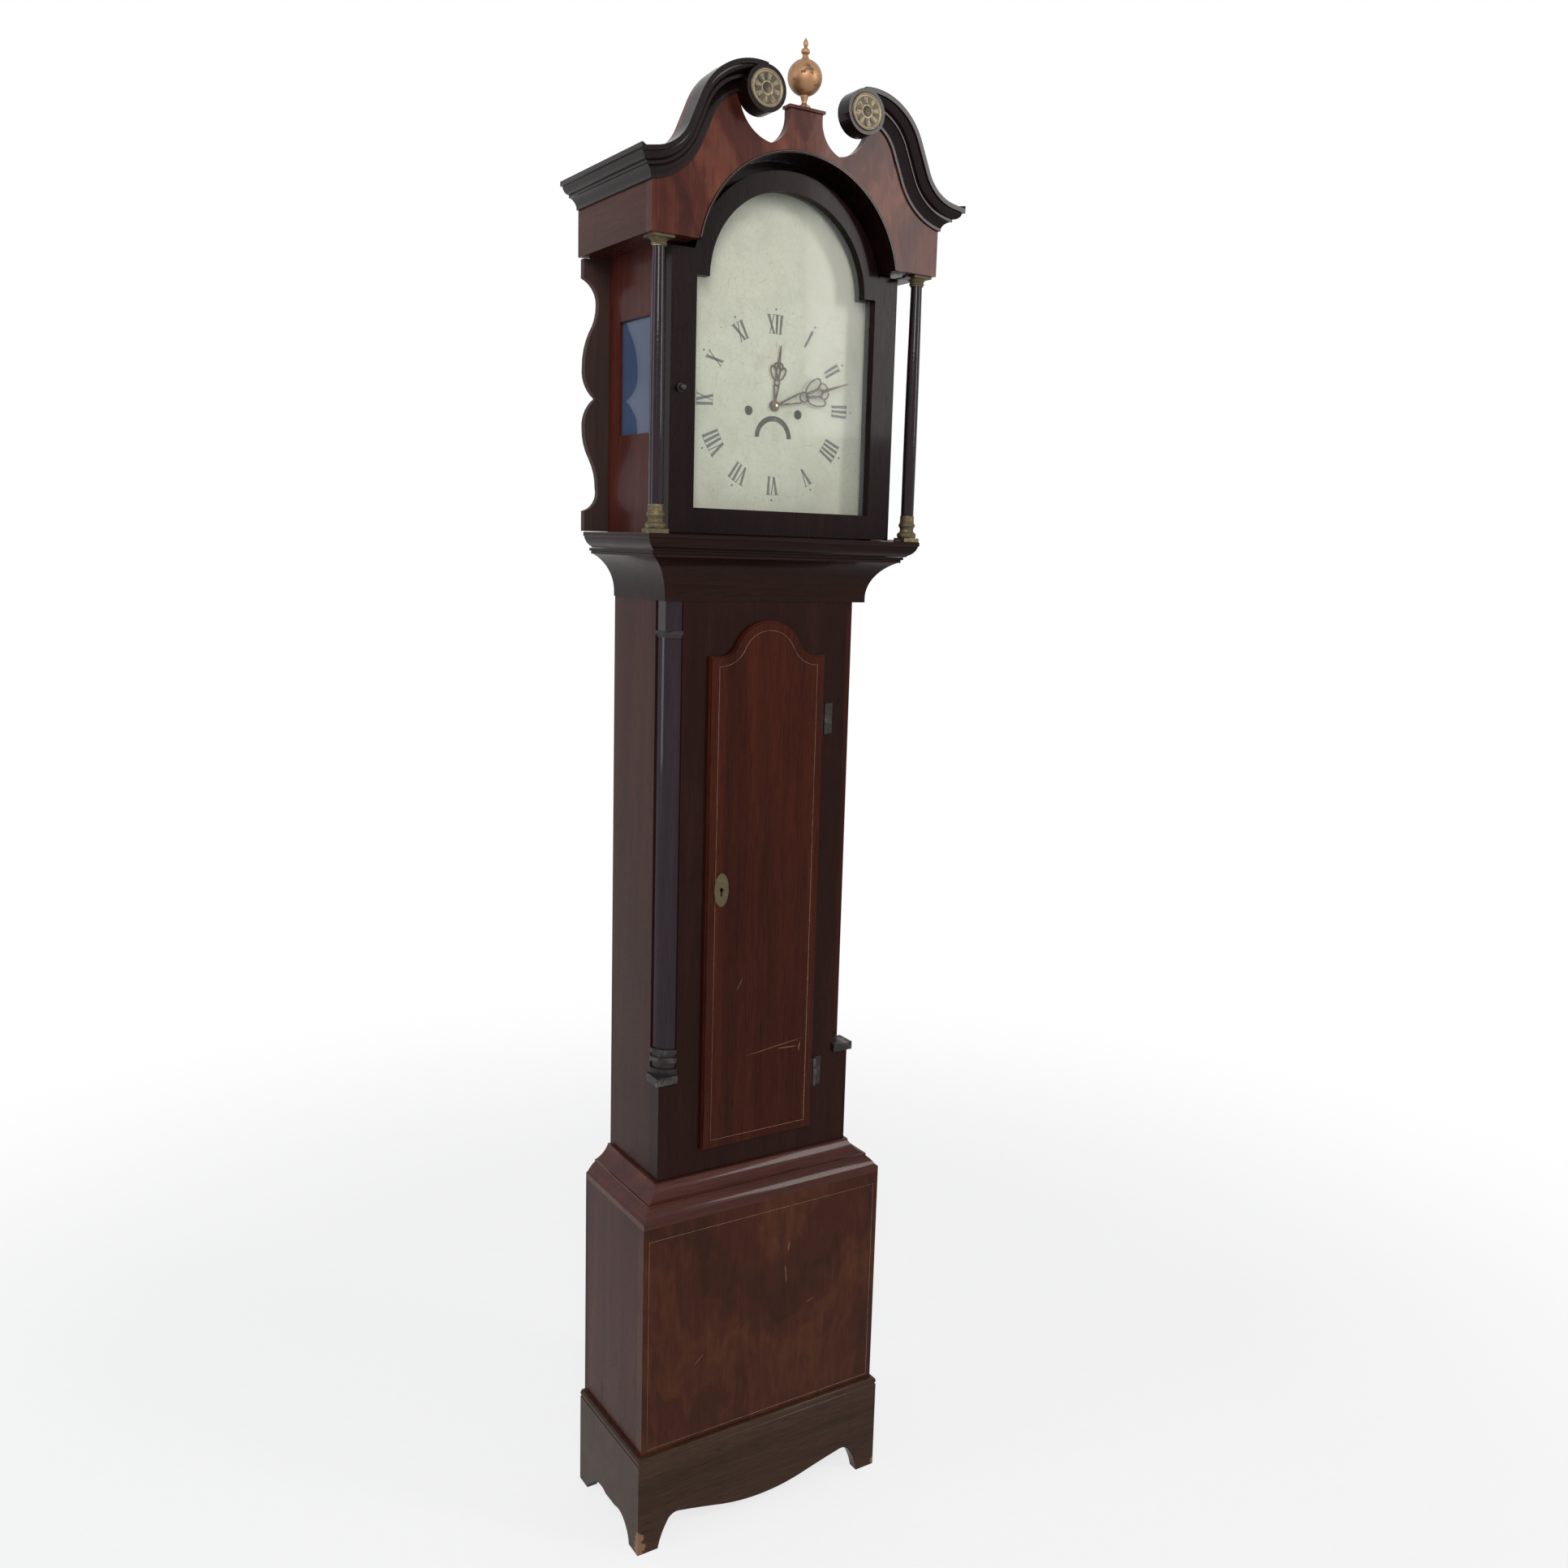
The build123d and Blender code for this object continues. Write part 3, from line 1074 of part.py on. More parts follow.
def movement_frame():
    rect = Pos(0, (PLATE_BOTTOM + PLATE_TOP) / 2) * Rectangle(2 * PLATE_HALF, PLATE_TOP - PLATE_BOTTOM)
    small = [(THIRD_X, THIRD_Z), (0, ESCAPE_Z), (HAMMER_X, HAMMER_Z)]
    back_face = rect - Pos(0, ANCHOR_Z) * Circle(4) - Pos(0, DIAL_Z) * Circle(PIVOT_R + PIVOT_GAP)
    front_face = rect - Pos(0, DIAL_Z) * Circle(CANNON_R + PIVOT_GAP)
    front_face -= Pos(0, ANCHOR_Z) * Circle(PIVOT_R + PIVOT_GAP)
    for x, z in small:
        front_face -= Pos(x, z) * Circle(PIVOT_R + PIVOT_GAP)
        back_face -= Pos(x, z) * Circle(PIVOT_R + PIVOT_GAP)
    for x in (-BARREL_X, BARREL_X):
        front_face -= Pos(x, BARREL_Z) * Circle(DRUM_ARBOR_R + PIVOT_GAP)
        back_face -= Pos(x, BARREL_Z) * Circle(DRUM_PIVOT_R + PIVOT_GAP)
    front_plate = panel(front_face, FRONT_PLATE, PLATE_FRONT)
    front_plate += rod(0, DIAL_Z + MOTION_DISTANCE, PLATE_FRONT, HOUR_DEPTH + 5, MINUTE_STUD_R)
    back_plate = panel(back_face, BACK_PLATE, INNER_BACK)

    low = ANCHOR_Z - 8
    cock = board(-22, 22, COCK_DEPTH, COCK_DEPTH + PLATE, low, PLATE_TOP)
    for side in (-20, 20):
        cock += board(side - 2, side + 2, COCK_DEPTH + PLATE, BACK_PLATE, low, PLATE_TOP)
    cock -= rod(0, ANCHOR_Z, COCK_DEPTH - 1, COCK_DEPTH + PLATE + 1, PIVOT_R + PIVOT_GAP)
    cock += board(-5, 5, PENDULUM_DEPTH - 5, COCK_DEPTH, ANCHOR_Z + 4, ANCHOR_Z + 16)
    cock -= board(-1.3, 1.3, PENDULUM_DEPTH - 6, PENDULUM_DEPTH + 5, ANCHOR_Z + 3, ANCHOR_Z + 12)
    keep("movement_plates", front_plate, back_plate, cock)

    knop = (INNER_BACK + FRONT_PLATE) / 2
    low_pillar = turned(
        PILLAR_LOW_X, PLATE_BOTTOM + 12, (0, INNER_BACK), (5, INNER_BACK), (5, INNER_BACK + 4),
        (3.5, INNER_BACK + 6), ((5, knop), (3.5, FRONT_PLATE - 6)), (5, FRONT_PLATE - 4),
        (5, FRONT_PLATE), (0, FRONT_PLATE))
    rise = PLATE_TOP - PLATE_BOTTOM - 20
    high_pillar = Pos(PILLAR_HIGH_X - PILLAR_LOW_X, 0, rise) * low_pillar
    keep("plate_pillars", *both_sides(low_pillar), *both_sides(high_pillar))


def seat_board():
    low = PLATE_BOTTOM - SEAT_BOARD
    sheet = board(-TRUNK_HALF, TRUNK_HALF, SEAT_REAR, SEAT_FRONT, low, PLATE_BOTTOM)
    for barrel_x in (-BARREL_X, BARREL_X):
        drop = line_x(barrel_x)
        tie = drop + 2 * (PULLEY_R + GUT_R)
        sheet -= board(drop - 5, drop + 5, DRUM_REAR, DRUM_FRONT, low - 1, PLATE_BOTTOM + 1)
        sheet -= post(tie, GUT_DEPTH, low - 1, PLATE_BOTTOM + 1, GUT_R + 0.4)
    keep("seat_board", sheet)


def bell():
    x = BELL_X
    mouth = BELL_MOUTH
    top = mouth + 31
    skin = 2.5
    cup = upright(x, BELL_DEPTH, (0, mouth), (BELL_R, mouth), dome(BELL_R, mouth, top))
    cup -= upright(x, BELL_DEPTH, (0, mouth - 1), (BELL_R - skin, mouth - 1), (BELL_R - skin, mouth),
                   dome(BELL_R - skin, mouth, top - skin))
    stand_rear = BACK_PLATE - PLATE
    stand = board(x - 5, x + 5, stand_rear, BACK_PLATE, ANCHOR_Z - 14, top + 7)
    stand += board(x - 5, x + 5, stand_rear, BELL_DEPTH + 5, top + 4, top + 7)
    stand += post(x, BELL_DEPTH, top, top + 5, 3)
    keep("bell_and_stand", cup, stand)

    lift = BELL_MOUTH + 4
    head_end = BELL_X - BELL_R - 1.4
    arm = arbor(HAMMER_X, HAMMER_Z)
    arm += board(HAMMER_X - 1.2, HAMMER_X + 1.2, BELL_DEPTH - 2, BELL_DEPTH + 2, HAMMER_Z, lift)
    head = Rot(0, 90, 0) * Cylinder(4.5, head_end - HAMMER_X + 4)
    head = Pos((HAMMER_X - 4 + head_end) / 2, y_at(BELL_DEPTH), lift) * head
    keep("strike_hammer", arm + head)


def strike_barrel():
    face = wheel(STRIKE_TEETH, GREAT_MODULE, 0) + Circle(2 * DRUM_ARBOR_R)
    great = panel(face, GREAT_DEPTH, GREAT_DEPTH + 2.5, -BARREL_X, BARREL_Z)
    keep("strike_barrel", barrel(-BARREL_X) + great)


# Weights on their pulleys, and the gut lines

def line_x(barrel_x):
    # Each line leaves the left side of its barrel
    return barrel_x - DRUM_R - GUT_R - GUT_GAP


def weights_and_lines():
    reach = PULLEY_R + GUT_R
    under_seat = PLATE_BOTTOM - SEAT_BOARD
    tops = []
    for name, barrel_x in (("going", BARREL_X), ("strike", -BARREL_X)):
        drop = line_x(barrel_x)
        x = drop + reach
        weight_top = WEIGHT_BOTTOM + WEIGHT_HEIGHT
        yoke = PULLEY_Z - PULLEY_RIM_R - 5
        weight = upright(
            x, GUT_DEPTH, (0, WEIGHT_BOTTOM), (WEIGHT_R - 2, WEIGHT_BOTTOM),
            (WEIGHT_R, WEIGHT_BOTTOM + 2), (WEIGHT_R, weight_top - 5),
            ((WEIGHT_R - 5, weight_top - 1), (6, weight_top)),
            (3.5, weight_top + 3), (3.5, yoke), (0, yoke))
        weight += board(x - 5, x + 5, GUT_DEPTH - 6, GUT_DEPTH + 6, yoke - 3, yoke)
        for side in (-5.2, 5.2):
            middle = GUT_DEPTH + side
            weight += board(x - 5, x + 5, middle - 0.8, middle + 0.8, yoke, PULLEY_Z + 6)
        weight += rod(x, PULLEY_Z, GUT_DEPTH - 6, GUT_DEPTH + 6, PULLEY_PIN_R)
        keep(name + "_weight", weight)

        groove = PULLEY_R - GUT_GAP
        bore = PULLEY_PIN_R + PIVOT_GAP
        rear = GUT_DEPTH - 3.8
        front = GUT_DEPTH + 3.8
        pulley = turned(
            x, PULLEY_Z, (bore, rear), (PULLEY_RIM_R, rear), (PULLEY_RIM_R, rear + 1.2),
            (groove, rear + 2.6), (groove, front - 2.6), (PULLEY_RIM_R, front - 1.2),
            (PULLEY_RIM_R, front), (bore, front))
        keep(name + "_pulley", pulley)

        path = Curve() + [
            Line((drop, under_seat), (drop, PULLEY_Z)),
            ThreePointArc((drop, PULLEY_Z), (x, PULLEY_Z - reach), (x + reach, PULLEY_Z)),
            Line((x + reach, PULLEY_Z), (x + reach, under_seat)),
        ]
        start = Plane(origin=(drop, y_at(GUT_DEPTH), under_seat), z_dir=(0, 0, -1))
        keep(name + "_line", sweep(start * Circle(GUT_R), path=front_view(GUT_DEPTH) * path))
        tops.append(post(drop, GUT_DEPTH, under_seat, BARREL_Z, GUT_R))
        knot = post(x + reach, GUT_DEPTH, under_seat, PLATE_BOTTOM + 4, GUT_R)
        knot += Pos(x + reach, y_at(GUT_DEPTH), PLATE_BOTTOM + 3) * Sphere(3)
        tops.append(knot)
    keep("line_tops", *tops)


def build():
    plinth()
    base()
    base_moulding()
    trunk()
    quarter_columns()
    backboard()
    throat_moulding()
    trunk_door()
    trunk_hinges()
    hood_base_frame()
    hood_sides()
    hood_columns()
    swan_necks()
    frieze_board()
    hood_top()
    hood_mask()
    hood_door()
    hood_straps()
    finial()
    dial_plate()
    going_train()
    motion_work()
    hands()
    anchor()
    pendulum()
    movement_frame()
    seat_board()
    bell()
    strike_barrel()
    weights_and_lines()


build()
os.makedirs("parts", exist_ok=True)
for name, shape in NODES.items():
    export_step(shape, "parts/" + name + ".step")
print(len(NODES), "nodes")
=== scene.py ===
import math

import bmesh
import bpy
from mathutils import Matrix, Vector


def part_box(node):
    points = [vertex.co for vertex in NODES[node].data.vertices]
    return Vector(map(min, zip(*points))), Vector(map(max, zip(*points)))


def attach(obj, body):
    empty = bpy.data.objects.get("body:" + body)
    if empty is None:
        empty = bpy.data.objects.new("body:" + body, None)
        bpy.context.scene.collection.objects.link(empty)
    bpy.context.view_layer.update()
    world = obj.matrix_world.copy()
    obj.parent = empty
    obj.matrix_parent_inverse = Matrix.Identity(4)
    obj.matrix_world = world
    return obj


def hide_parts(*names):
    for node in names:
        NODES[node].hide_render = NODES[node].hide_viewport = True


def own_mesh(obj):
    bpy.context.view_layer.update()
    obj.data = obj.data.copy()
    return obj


bl_info = {
    "name": "Longcase clock dressing",
    "version": (1, 0, 0),
    "blender": (4, 5, 0),
    "location": "3D View > Sidebar > Clock",
    "description": "Timber, metal, glass, painted dial and studio for a longcase clock",
    "category": "Object",
}

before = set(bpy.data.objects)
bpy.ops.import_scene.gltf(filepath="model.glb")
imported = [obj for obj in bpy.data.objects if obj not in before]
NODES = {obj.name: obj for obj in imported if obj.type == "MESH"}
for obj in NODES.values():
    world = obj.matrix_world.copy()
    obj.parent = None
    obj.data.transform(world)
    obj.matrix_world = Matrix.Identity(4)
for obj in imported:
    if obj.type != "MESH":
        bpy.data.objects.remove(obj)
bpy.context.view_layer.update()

# Where the case's parts stand, read from the frame, in metres
DIAL_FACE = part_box("dial_plate")[0].y
DIAL_CENTRE = Vector((0.0, DIAL_FACE, 1.790))
PANEL_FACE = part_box("base_front_panel")[0].y
DOOR_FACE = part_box("trunk_door")[0].y
ROSETTE_LOW, ROSETTE_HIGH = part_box("rosettes")
ROSETTE_R = (ROSETTE_HIGH.z - ROSETTE_LOW.z) / 2
ROSETTE_CENTRE = (ROSETTE_HIGH.x - ROSETTE_R, ROSETTE_HIGH.z - ROSETTE_R)

# The rosettes' rings, as radii
ROSETTE_RIM = 0.0225
ROSETTE_EYE = 0.0085
PETAL_RING = 0.0150
PETALS = 8

# Middle tones of the mahogany, which differ from part to part
TRUNK_SIDE = (0.037, 0.0085, 0.005)
BASE_SIDE = (0.050, 0.0115, 0.007)
HOOD_SIDE = (0.060, 0.0135, 0.009)
DOOR = (0.028, 0.0055, 0.0024)
BLACKENED = (0.0085, 0.0030, 0.0027)
# The columns' purple-blue cast is a painted reflection of window light on dark mahogany.
COLUMN_WITH_PAINTED_SHEEN = (0.016, 0.0075, 0.0115)
MOULDING = (0.015, 0.0052, 0.0035)
BASE_MOULDING = (0.062, 0.0170, 0.0115)
PLINTH = (0.060, 0.0320, 0.0200)
FRIEZE_RETURN = (0.060, 0.016, 0.011)
BACKBOARD = (0.030, 0.0095, 0.006)

# Dark, middle and light tones of the figured veneers and the old pine
BASE_FLAME = ((0.016, 0.0048, 0.0026), (0.050, 0.0140, 0.0065), (0.115, 0.036, 0.015))
FRIEZE_FLAME = ((0.020, 0.0055, 0.0042), (0.070, 0.018, 0.0125), (0.165, 0.052, 0.031))
OLD_PINE = ((0.10, 0.055, 0.026), (0.17, 0.10, 0.05), (0.24, 0.15, 0.08))

# Strokes of the numerals and dots, and the height of ink and inlay over their ground
THICK_STROKE = 0.0041
THIN_STROKE = 0.0016
SERIF_HALF = 0.0003
INK_RISE = 0.0002
INLAY_RISE = 0.0004
DOT_R = 0.0012
MINUTES = 60

# The base panel's inlaid line, the door line's inset and the frieze arch
PANEL_LINE_HALF = 0.210
PANEL_LINE_LOW, PANEL_LINE_HIGH = 0.173, 0.523
DOOR_LINE_INSET = 0.015
ARCH_CENTRE = (0.0, 1.965)
ARCH_LINE_R = 0.1685

# Marks of wear: scratches as (middle in x and z, length, lean, width), chips as (place, radius)
DOOR_SCRATCHES = (((0.028, 0.786), 0.085, 7.0, 0.0005), ((0.052, 0.781), 0.030, -4.0, 0.0007),
                  ((-0.040, 0.900), 0.018, 60.0, 0.0004), ((0.075, 0.779), 0.014, 80.0, 0.0008))
PANEL_SCRATCHES = (((0.045, 0.452), 0.012, 85.0, 0.0012), ((0.040, 0.405), 0.026, 95.0, 0.0008),
                   ((-0.120, 0.300), 0.020, 40.0, 0.0004), ((0.090, 0.345), 0.012, 20.0, 0.0005))
PLINTH_CHIPS = (((-0.228, -0.0876, 0.030), 0.010), ((-0.228, -0.0876, 0.012), 0.013),
                ((0.228, -0.0876, 0.006), 0.007))

# Shared colours and the strength of the varnish's reflection
RAW_WOOD = (0.24, 0.13, 0.065)
SHEEN = 0.055


# Shader maths

class Wire:
    """An output socket that can be written into sums."""

    def __init__(self, shade, socket):
        self.shade = shade
        self.socket = socket

    def math(self, operation, *others):
        values = [self, *others]
        return self.shade.node("ShaderNodeMath", dict(enumerate(values)), operation=operation)

    def __add__(self, other):
        return self.math("ADD", other)

    def __radd__(self, other):
        return self.math("ADD", other)

    def __sub__(self, other):
        return self.math("SUBTRACT", other)

    def __rsub__(self, other):
        return self.shade.node("ShaderNodeMath", {0: other, 1: self}, operation="SUBTRACT")

    def __mul__(self, other):
        return self.math("MULTIPLY", other)

    def __rmul__(self, other):
        return self.math("MULTIPLY", other)

    def __truediv__(self, other):
        return self.math("DIVIDE", other)

    def __pow__(self, other):
        return self.math("POWER", other)

    def __abs__(self):
        return self.math("ABSOLUTE")

    def sine(self):
        return self.math("SINE")

    def clamp(self):
        return self.shade.node("ShaderNodeClamp", {0: self, 1: 0.0, 2: 1.0})

    def below(self, edge, soft):
        """1 where the value is under an edge, fading out over a soft width."""
        return self.shade.node("ShaderNodeMapRange",
                               {0: self, 1: edge - soft, 2: edge + soft, 3: 1.0, 4: 0.0},
                               interpolation_type="SMOOTHSTEP")

    def above(self, edge, soft):
        return 1 - self.below(edge, soft)


class Shade:
    """A material and its nodes."""

    def __init__(self, name):
        self.material = bpy.data.materials.new(name)
        self.material.use_nodes = True
        self.tree = self.material.node_tree
        self.tree.nodes.clear()
        self.end = self.tree.nodes.new("ShaderNodeOutputMaterial")

    def node(self, kind, values=None, out=0, stops=None, **settings):
        made = self.tree.nodes.new(kind)
        for key, value in settings.items():
            setattr(made, key, value)
        if stops:
            ramp = made.color_ramp
            while len(ramp.elements) < len(stops):
                ramp.elements.new(0.5)
            for element, (place, colour) in zip(ramp.elements, stops):
                element.position = place
                element.color = (*colour, 1.0)
        for key, value in (values or {}).items():
            if isinstance(value, Wire):
                self.tree.links.new(value.socket, made.inputs[key])
            else:
                made.inputs[key].default_value = value
        return Wire(self, made.outputs[out])

    def place(self, scale=(1, 1, 1), shift=(0, 0, 0)):
        """Object coordinates, stretched and shifted."""
        where = self.node("ShaderNodeTexCoord", out="Object")
        return self.node("ShaderNodeMapping", {"Vector": where, "Scale": scale, "Location": shift})

    def axes(self):
        where = self.node("ShaderNodeTexCoord", out="Object")
        apart = self.node("ShaderNodeSeparateXYZ", {0: where})
        outs = apart.socket.node.outputs
        return Wire(self, outs[0]), Wire(self, outs[1]), Wire(self, outs[2])

    def noise(self, where, scale, detail=4.0, rough=0.55, warp=0.0):
        return self.node("ShaderNodeTexNoise",
                         {"Vector": where, "Scale": scale, "Detail": detail, "Roughness": rough,
                          "Distortion": warp})

    def ramp(self, value, *stops):
        return self.node("ShaderNodeValToRGB", {0: value}, stops=stops)

    def blend(self, share, first, second, mode="MIX"):
        made = self.tree.nodes.new("ShaderNodeMix")
        made.data_type = "RGBA"
        made.blend_type = mode
        for key, value in ((0, share), (6, first), (7, second)):
            if isinstance(value, Wire):
                self.tree.links.new(value.socket, made.inputs[key])
            elif isinstance(value, tuple):
                made.inputs[key].default_value = (*value, 1.0)
            else:
                made.inputs[key].default_value = value
        return Wire(self, made.outputs[2])

    def scratch(self, across, up, place, length, lean, width):
        """1 along a ragged scratch, from its middle, length, lean in degrees and width."""
        turn = math.radians(lean)
        x, z = across - place[0], up - place[1]
        along = abs(x * math.cos(turn) + z * math.sin(turn))
        ragged = self.noise(self.place(), 140.0, 3.0, 0.6) * (width * 5) - width * 2.5
        off = abs(z * math.cos(turn) - x * math.sin(turn) + ragged)
        return along.below(length / 2, length * 0.2) * off.below(width, width * 0.6)

    def chip(self, place, radius):
        """1 inside a ragged chip round a point."""
        where = self.node("ShaderNodeTexCoord", out="Object")
        far = self.node("ShaderNodeVectorMath", {0: where, 1: place}, out=1, operation="DISTANCE")
        ragged = self.noise(self.place(), 190.0, 3.0, 0.6) * (radius * 1.4) - radius * 0.7
        return (far + ragged).below(radius, radius * 0.12)

    def bump(self, height, strength, distance):
        return self.node("ShaderNodeBump",
                         {"Height": height, "Strength": strength, "Distance": distance})

    def surface(self, **values):
        """The finished surface: names are the shader's sockets, with _ for a space."""
        sockets = {key.replace("_", " "): value for key, value in values.items()}
        for key, value in sockets.items():
            if isinstance(value, tuple) and len(value) == 3:
                sockets[key] = (*value, 1.0)
        skin = self.node("ShaderNodeBsdfPrincipled", sockets)
        self.tree.links.new(skin.socket, self.end.inputs["Surface"])
        return self.material


# Finishes

def lacquer_marks(shade):
    """Fine craze, dust and handling marks in an old varnish: (roughness change, height)."""
    where = shade.place()
    haze = shade.noise(where, 9.0, 5.0, 0.6)
    specks = shade.noise(where, 420.0, 3.0, 0.6).above(0.66, 0.05)
    craze = shade.node("ShaderNodeTexVoronoi", {"Vector": shade.place((1, 1, 0.55)), "Scale": 260.0},
                       feature="DISTANCE_TO_EDGE").below(0.035, 0.03)
    scuffs = shade.noise(shade.place((60, 60, 7), (3, 1, 2)), 3.0, 2.0, 0.5).above(0.7, 0.04)
    dull = haze * 0.18 + specks * 0.12 + scuffs * 0.14
    return dull, craze * -0.35 + haze * 0.5 + scuffs * -0.25


def worn(shade, colour, scratches, chips):
    """Pale scratches and chips in a varnished surface."""
    x, y, z = shade.axes()
    for place, length, lean, width in scratches:
        colour = shade.blend(shade.scratch(x, z, place, length, lean, width) * 0.75, colour, RAW_WOOD)
    for place, radius in chips:
        colour = shade.blend(shade.chip(place, radius), colour, RAW_WOOD)
    return colour


def straight_timber(name, along, tones, gloss, coat=0.06, seed=0.0, stripe=0.5,
                    scratches=(), chips=()):
    """Varnished timber with straight grain along one axis."""
    shade = Shade(name)
    stretch = {"X": (0.05, 1, 1), "Y": (1, 0.05, 1), "Z": (1, 1, 0.05)}[along]
    shift = (seed, seed * 1.7, seed * 0.6)
    slow = shade.noise(shade.place(stretch, shift), 22.0, 5.0, 0.6, 0.6)
    fibre = shade.noise(shade.place(stretch, shift), 210.0, 6.0, 0.7, 0.3)
    across = tuple(v * 2 if v == 1 else v for v in stretch)
    pores = shade.noise(shade.place(across, shift), 620.0, 2.0, 0.5)
    patch = shade.noise(shade.place((1, 1, 1), shift), 3.2, 4.0, 0.6)
    ribbon = shade.noise(shade.place(tuple(v * 0.7 for v in stretch), shift), 60.0, 3.0, 0.5, 1.2)
    tone = slow * (0.5 * stripe + 0.25) + fibre * 0.34 + ribbon * 0.22 * stripe + patch * 0.22 - 0.12
    colour = shade.ramp(tone, (0.18, tones[0]), (0.46, tones[1]), (0.74, tones[2]))
    dark_pores = pores.above(0.60, 0.06) * 0.55
    colour = shade.blend(dark_pores, colour, tuple(c * 0.35 for c in tones[0]))
    colour = worn(shade, colour, scratches, chips)
    dull, marks = lacquer_marks(shade)
    height = fibre * 0.35 + dark_pores * -0.5 + marks * 0.6
    return shade.surface(
        Base_Color=colour, Roughness=(dull + gloss).clamp(), Normal=shade.bump(height, 0.16, 0.0006),
        Coat_Weight=coat, Coat_Roughness=0.07, Coat_IOR=1.45, Specular_IOR_Level=SHEEN)


def flame_timber(name, tones, centre, rise, spread, gloss, bold=1.0, scratches=()):
    """Crotch-figured veneer: plumes that climb and fan out from a centre line."""
    shade = Shade(name)
    x, y, z = shade.axes()
    side = abs(x - centre)
    sway = shade.noise(shade.place((1, 1, 1)), 5.0, 3.0, 0.5)
    eddy = shade.noise(shade.place((1, 1, 0.45)), 17.0, 4.0, 0.6, 1.5)
    climb = z * rise - (side + 0.004) ** 0.72 * spread + sway * 8.5 + eddy * 3.2
    plume = climb.sine() * 0.5 + 0.5
    fine = (climb * 3.7 + eddy * 6.0).sine() * 0.5 + 0.5
    fibre = shade.noise(shade.place((1, 1, 0.06)), 260.0, 5.0, 0.7)
    feather = shade.noise(shade.place((1, 1, 0.16)), 46.0, 5.0, 0.65, 0.8)
    patch = shade.noise(shade.place((1, 1, 1), (2, 2, 2)), 3.4, 4.0, 0.6)
    figure = plume * (0.16 * bold) + fine * (0.07 * bold)
    tone = figure + fibre * 0.24 + feather * 0.34 + patch * 0.34 - 0.08
    colour = shade.ramp(tone, (0.18, tones[0]), (0.48, tones[1]), (0.8, tones[2]))
    colour = worn(shade, colour, scratches, ())
    dull, marks = lacquer_marks(shade)
    return shade.surface(
        Base_Color=colour, Roughness=(dull + gloss).clamp(),
        Normal=shade.bump(fibre * 0.3 + marks * 0.6, 0.14, 0.0006),
        Coat_Weight=0.10, Coat_Roughness=0.07, Coat_IOR=1.45, Specular_IOR_Level=SHEEN)


def bare_timber(name, along, tones):
    """Unvarnished or stained timber, with growth rings and dark stains."""
    shade = Shade(name)
    stretch = {"X": (0.06, 1, 1), "Y": (1, 0.06, 1), "Z": (1, 1, 0.06)}[along]
    rings = shade.noise(shade.place(stretch), 30.0, 4.0, 0.6, 1.5)
    fibre = shade.noise(shade.place(stretch), 240.0, 6.0, 0.75)
    stain = shade.noise(shade.place(), 4.0, 4.0, 0.6)
    tone = rings * 0.6 + fibre * 0.4
    colour = shade.ramp(tone, (0.3, tones[0]), (0.5, tones[1]), (0.7, tones[2]))
    colour = shade.blend(stain.above(0.5, 0.2) * 0.45, colour, tuple(c * 0.4 for c in tones[0]))
    return shade.surface(Base_Color=colour, Roughness=(0.62 + fibre * 0.3).clamp(),
                         Normal=shade.bump(fibre + rings * 0.4, 0.4, 0.0008))


def metal(name, bright, tarnish, share, rough, brush=0.0):
    """A metal with tarnish in its hollows and patches, and fine wear."""
    shade = Shade(name)
    cloud = shade.noise(shade.place(), 55.0, 6.0, 0.65, 0.5)
    speck = shade.noise(shade.place((1, 1, 1), (4, 0, 1)), 520.0, 3.0, 0.6)
    lines = shade.noise(shade.place((1, 1, 30)), 90.0, 3.0, 0.6)
    dull = (cloud.above(0.62 - share * 0.3, 0.12) * 0.8 + speck.above(0.6, 0.08) * 0.3).clamp()
    colour = shade.blend(dull, bright, tarnish)
    return shade.surface(
        Base_Color=colour, Metallic=(1 - dull * 0.35).clamp(),
        Roughness=(dull * 0.3 + speck * 0.12 + rough).clamp(),
        Normal=shade.bump(cloud * 0.6 + speck * 0.3 + lines * brush, 0.3, 0.0004))


def rosette_brass_painted_highlights():
    """Dark brass with painted highlights on the rims of its rings and petals."""
    shade = Shade("rosette_brass_painted_highlights")
    x, y, z = shade.axes()
    across = abs(x) - ROSETTE_CENTRE[0]
    up = z - ROSETTE_CENTRE[1]
    out = (across * across + up * up) ** 0.5
    turn = up.math("ARCTAN2", across)
    petals = (turn * PETALS).sine() * 0.5 + 0.5
    # Rims of the rings and the petals below carry a painted highlight.
    rim = abs(out - ROSETTE_RIM).below(0.0016, 0.0010)
    eye = abs(out - ROSETTE_EYE).below(0.0010, 0.0008)
    rings = rim + eye
    leaves = petals.above(0.62, 0.2) * abs(out - PETAL_RING).below(0.0045, 0.0012)
    cloud = shade.noise(shade.place(), 160.0, 5.0, 0.65)
    # bright is a painted highlight on the rings' rims and the petals.
    bright = ((rings + leaves * 0.55) * (cloud * 0.9 + 0.2)).clamp()
    colour = shade.blend(bright, (0.045, 0.037, 0.026), (0.28, 0.225, 0.135))
    return shade.surface(
        Base_Color=colour, Metallic=(bright * 0.3 + 0.65).clamp(),
        Roughness=(cloud * 0.3 + 0.22).clamp(), Normal=shade.bump(bright + cloud * 0.5, 0.4, 0.0006))


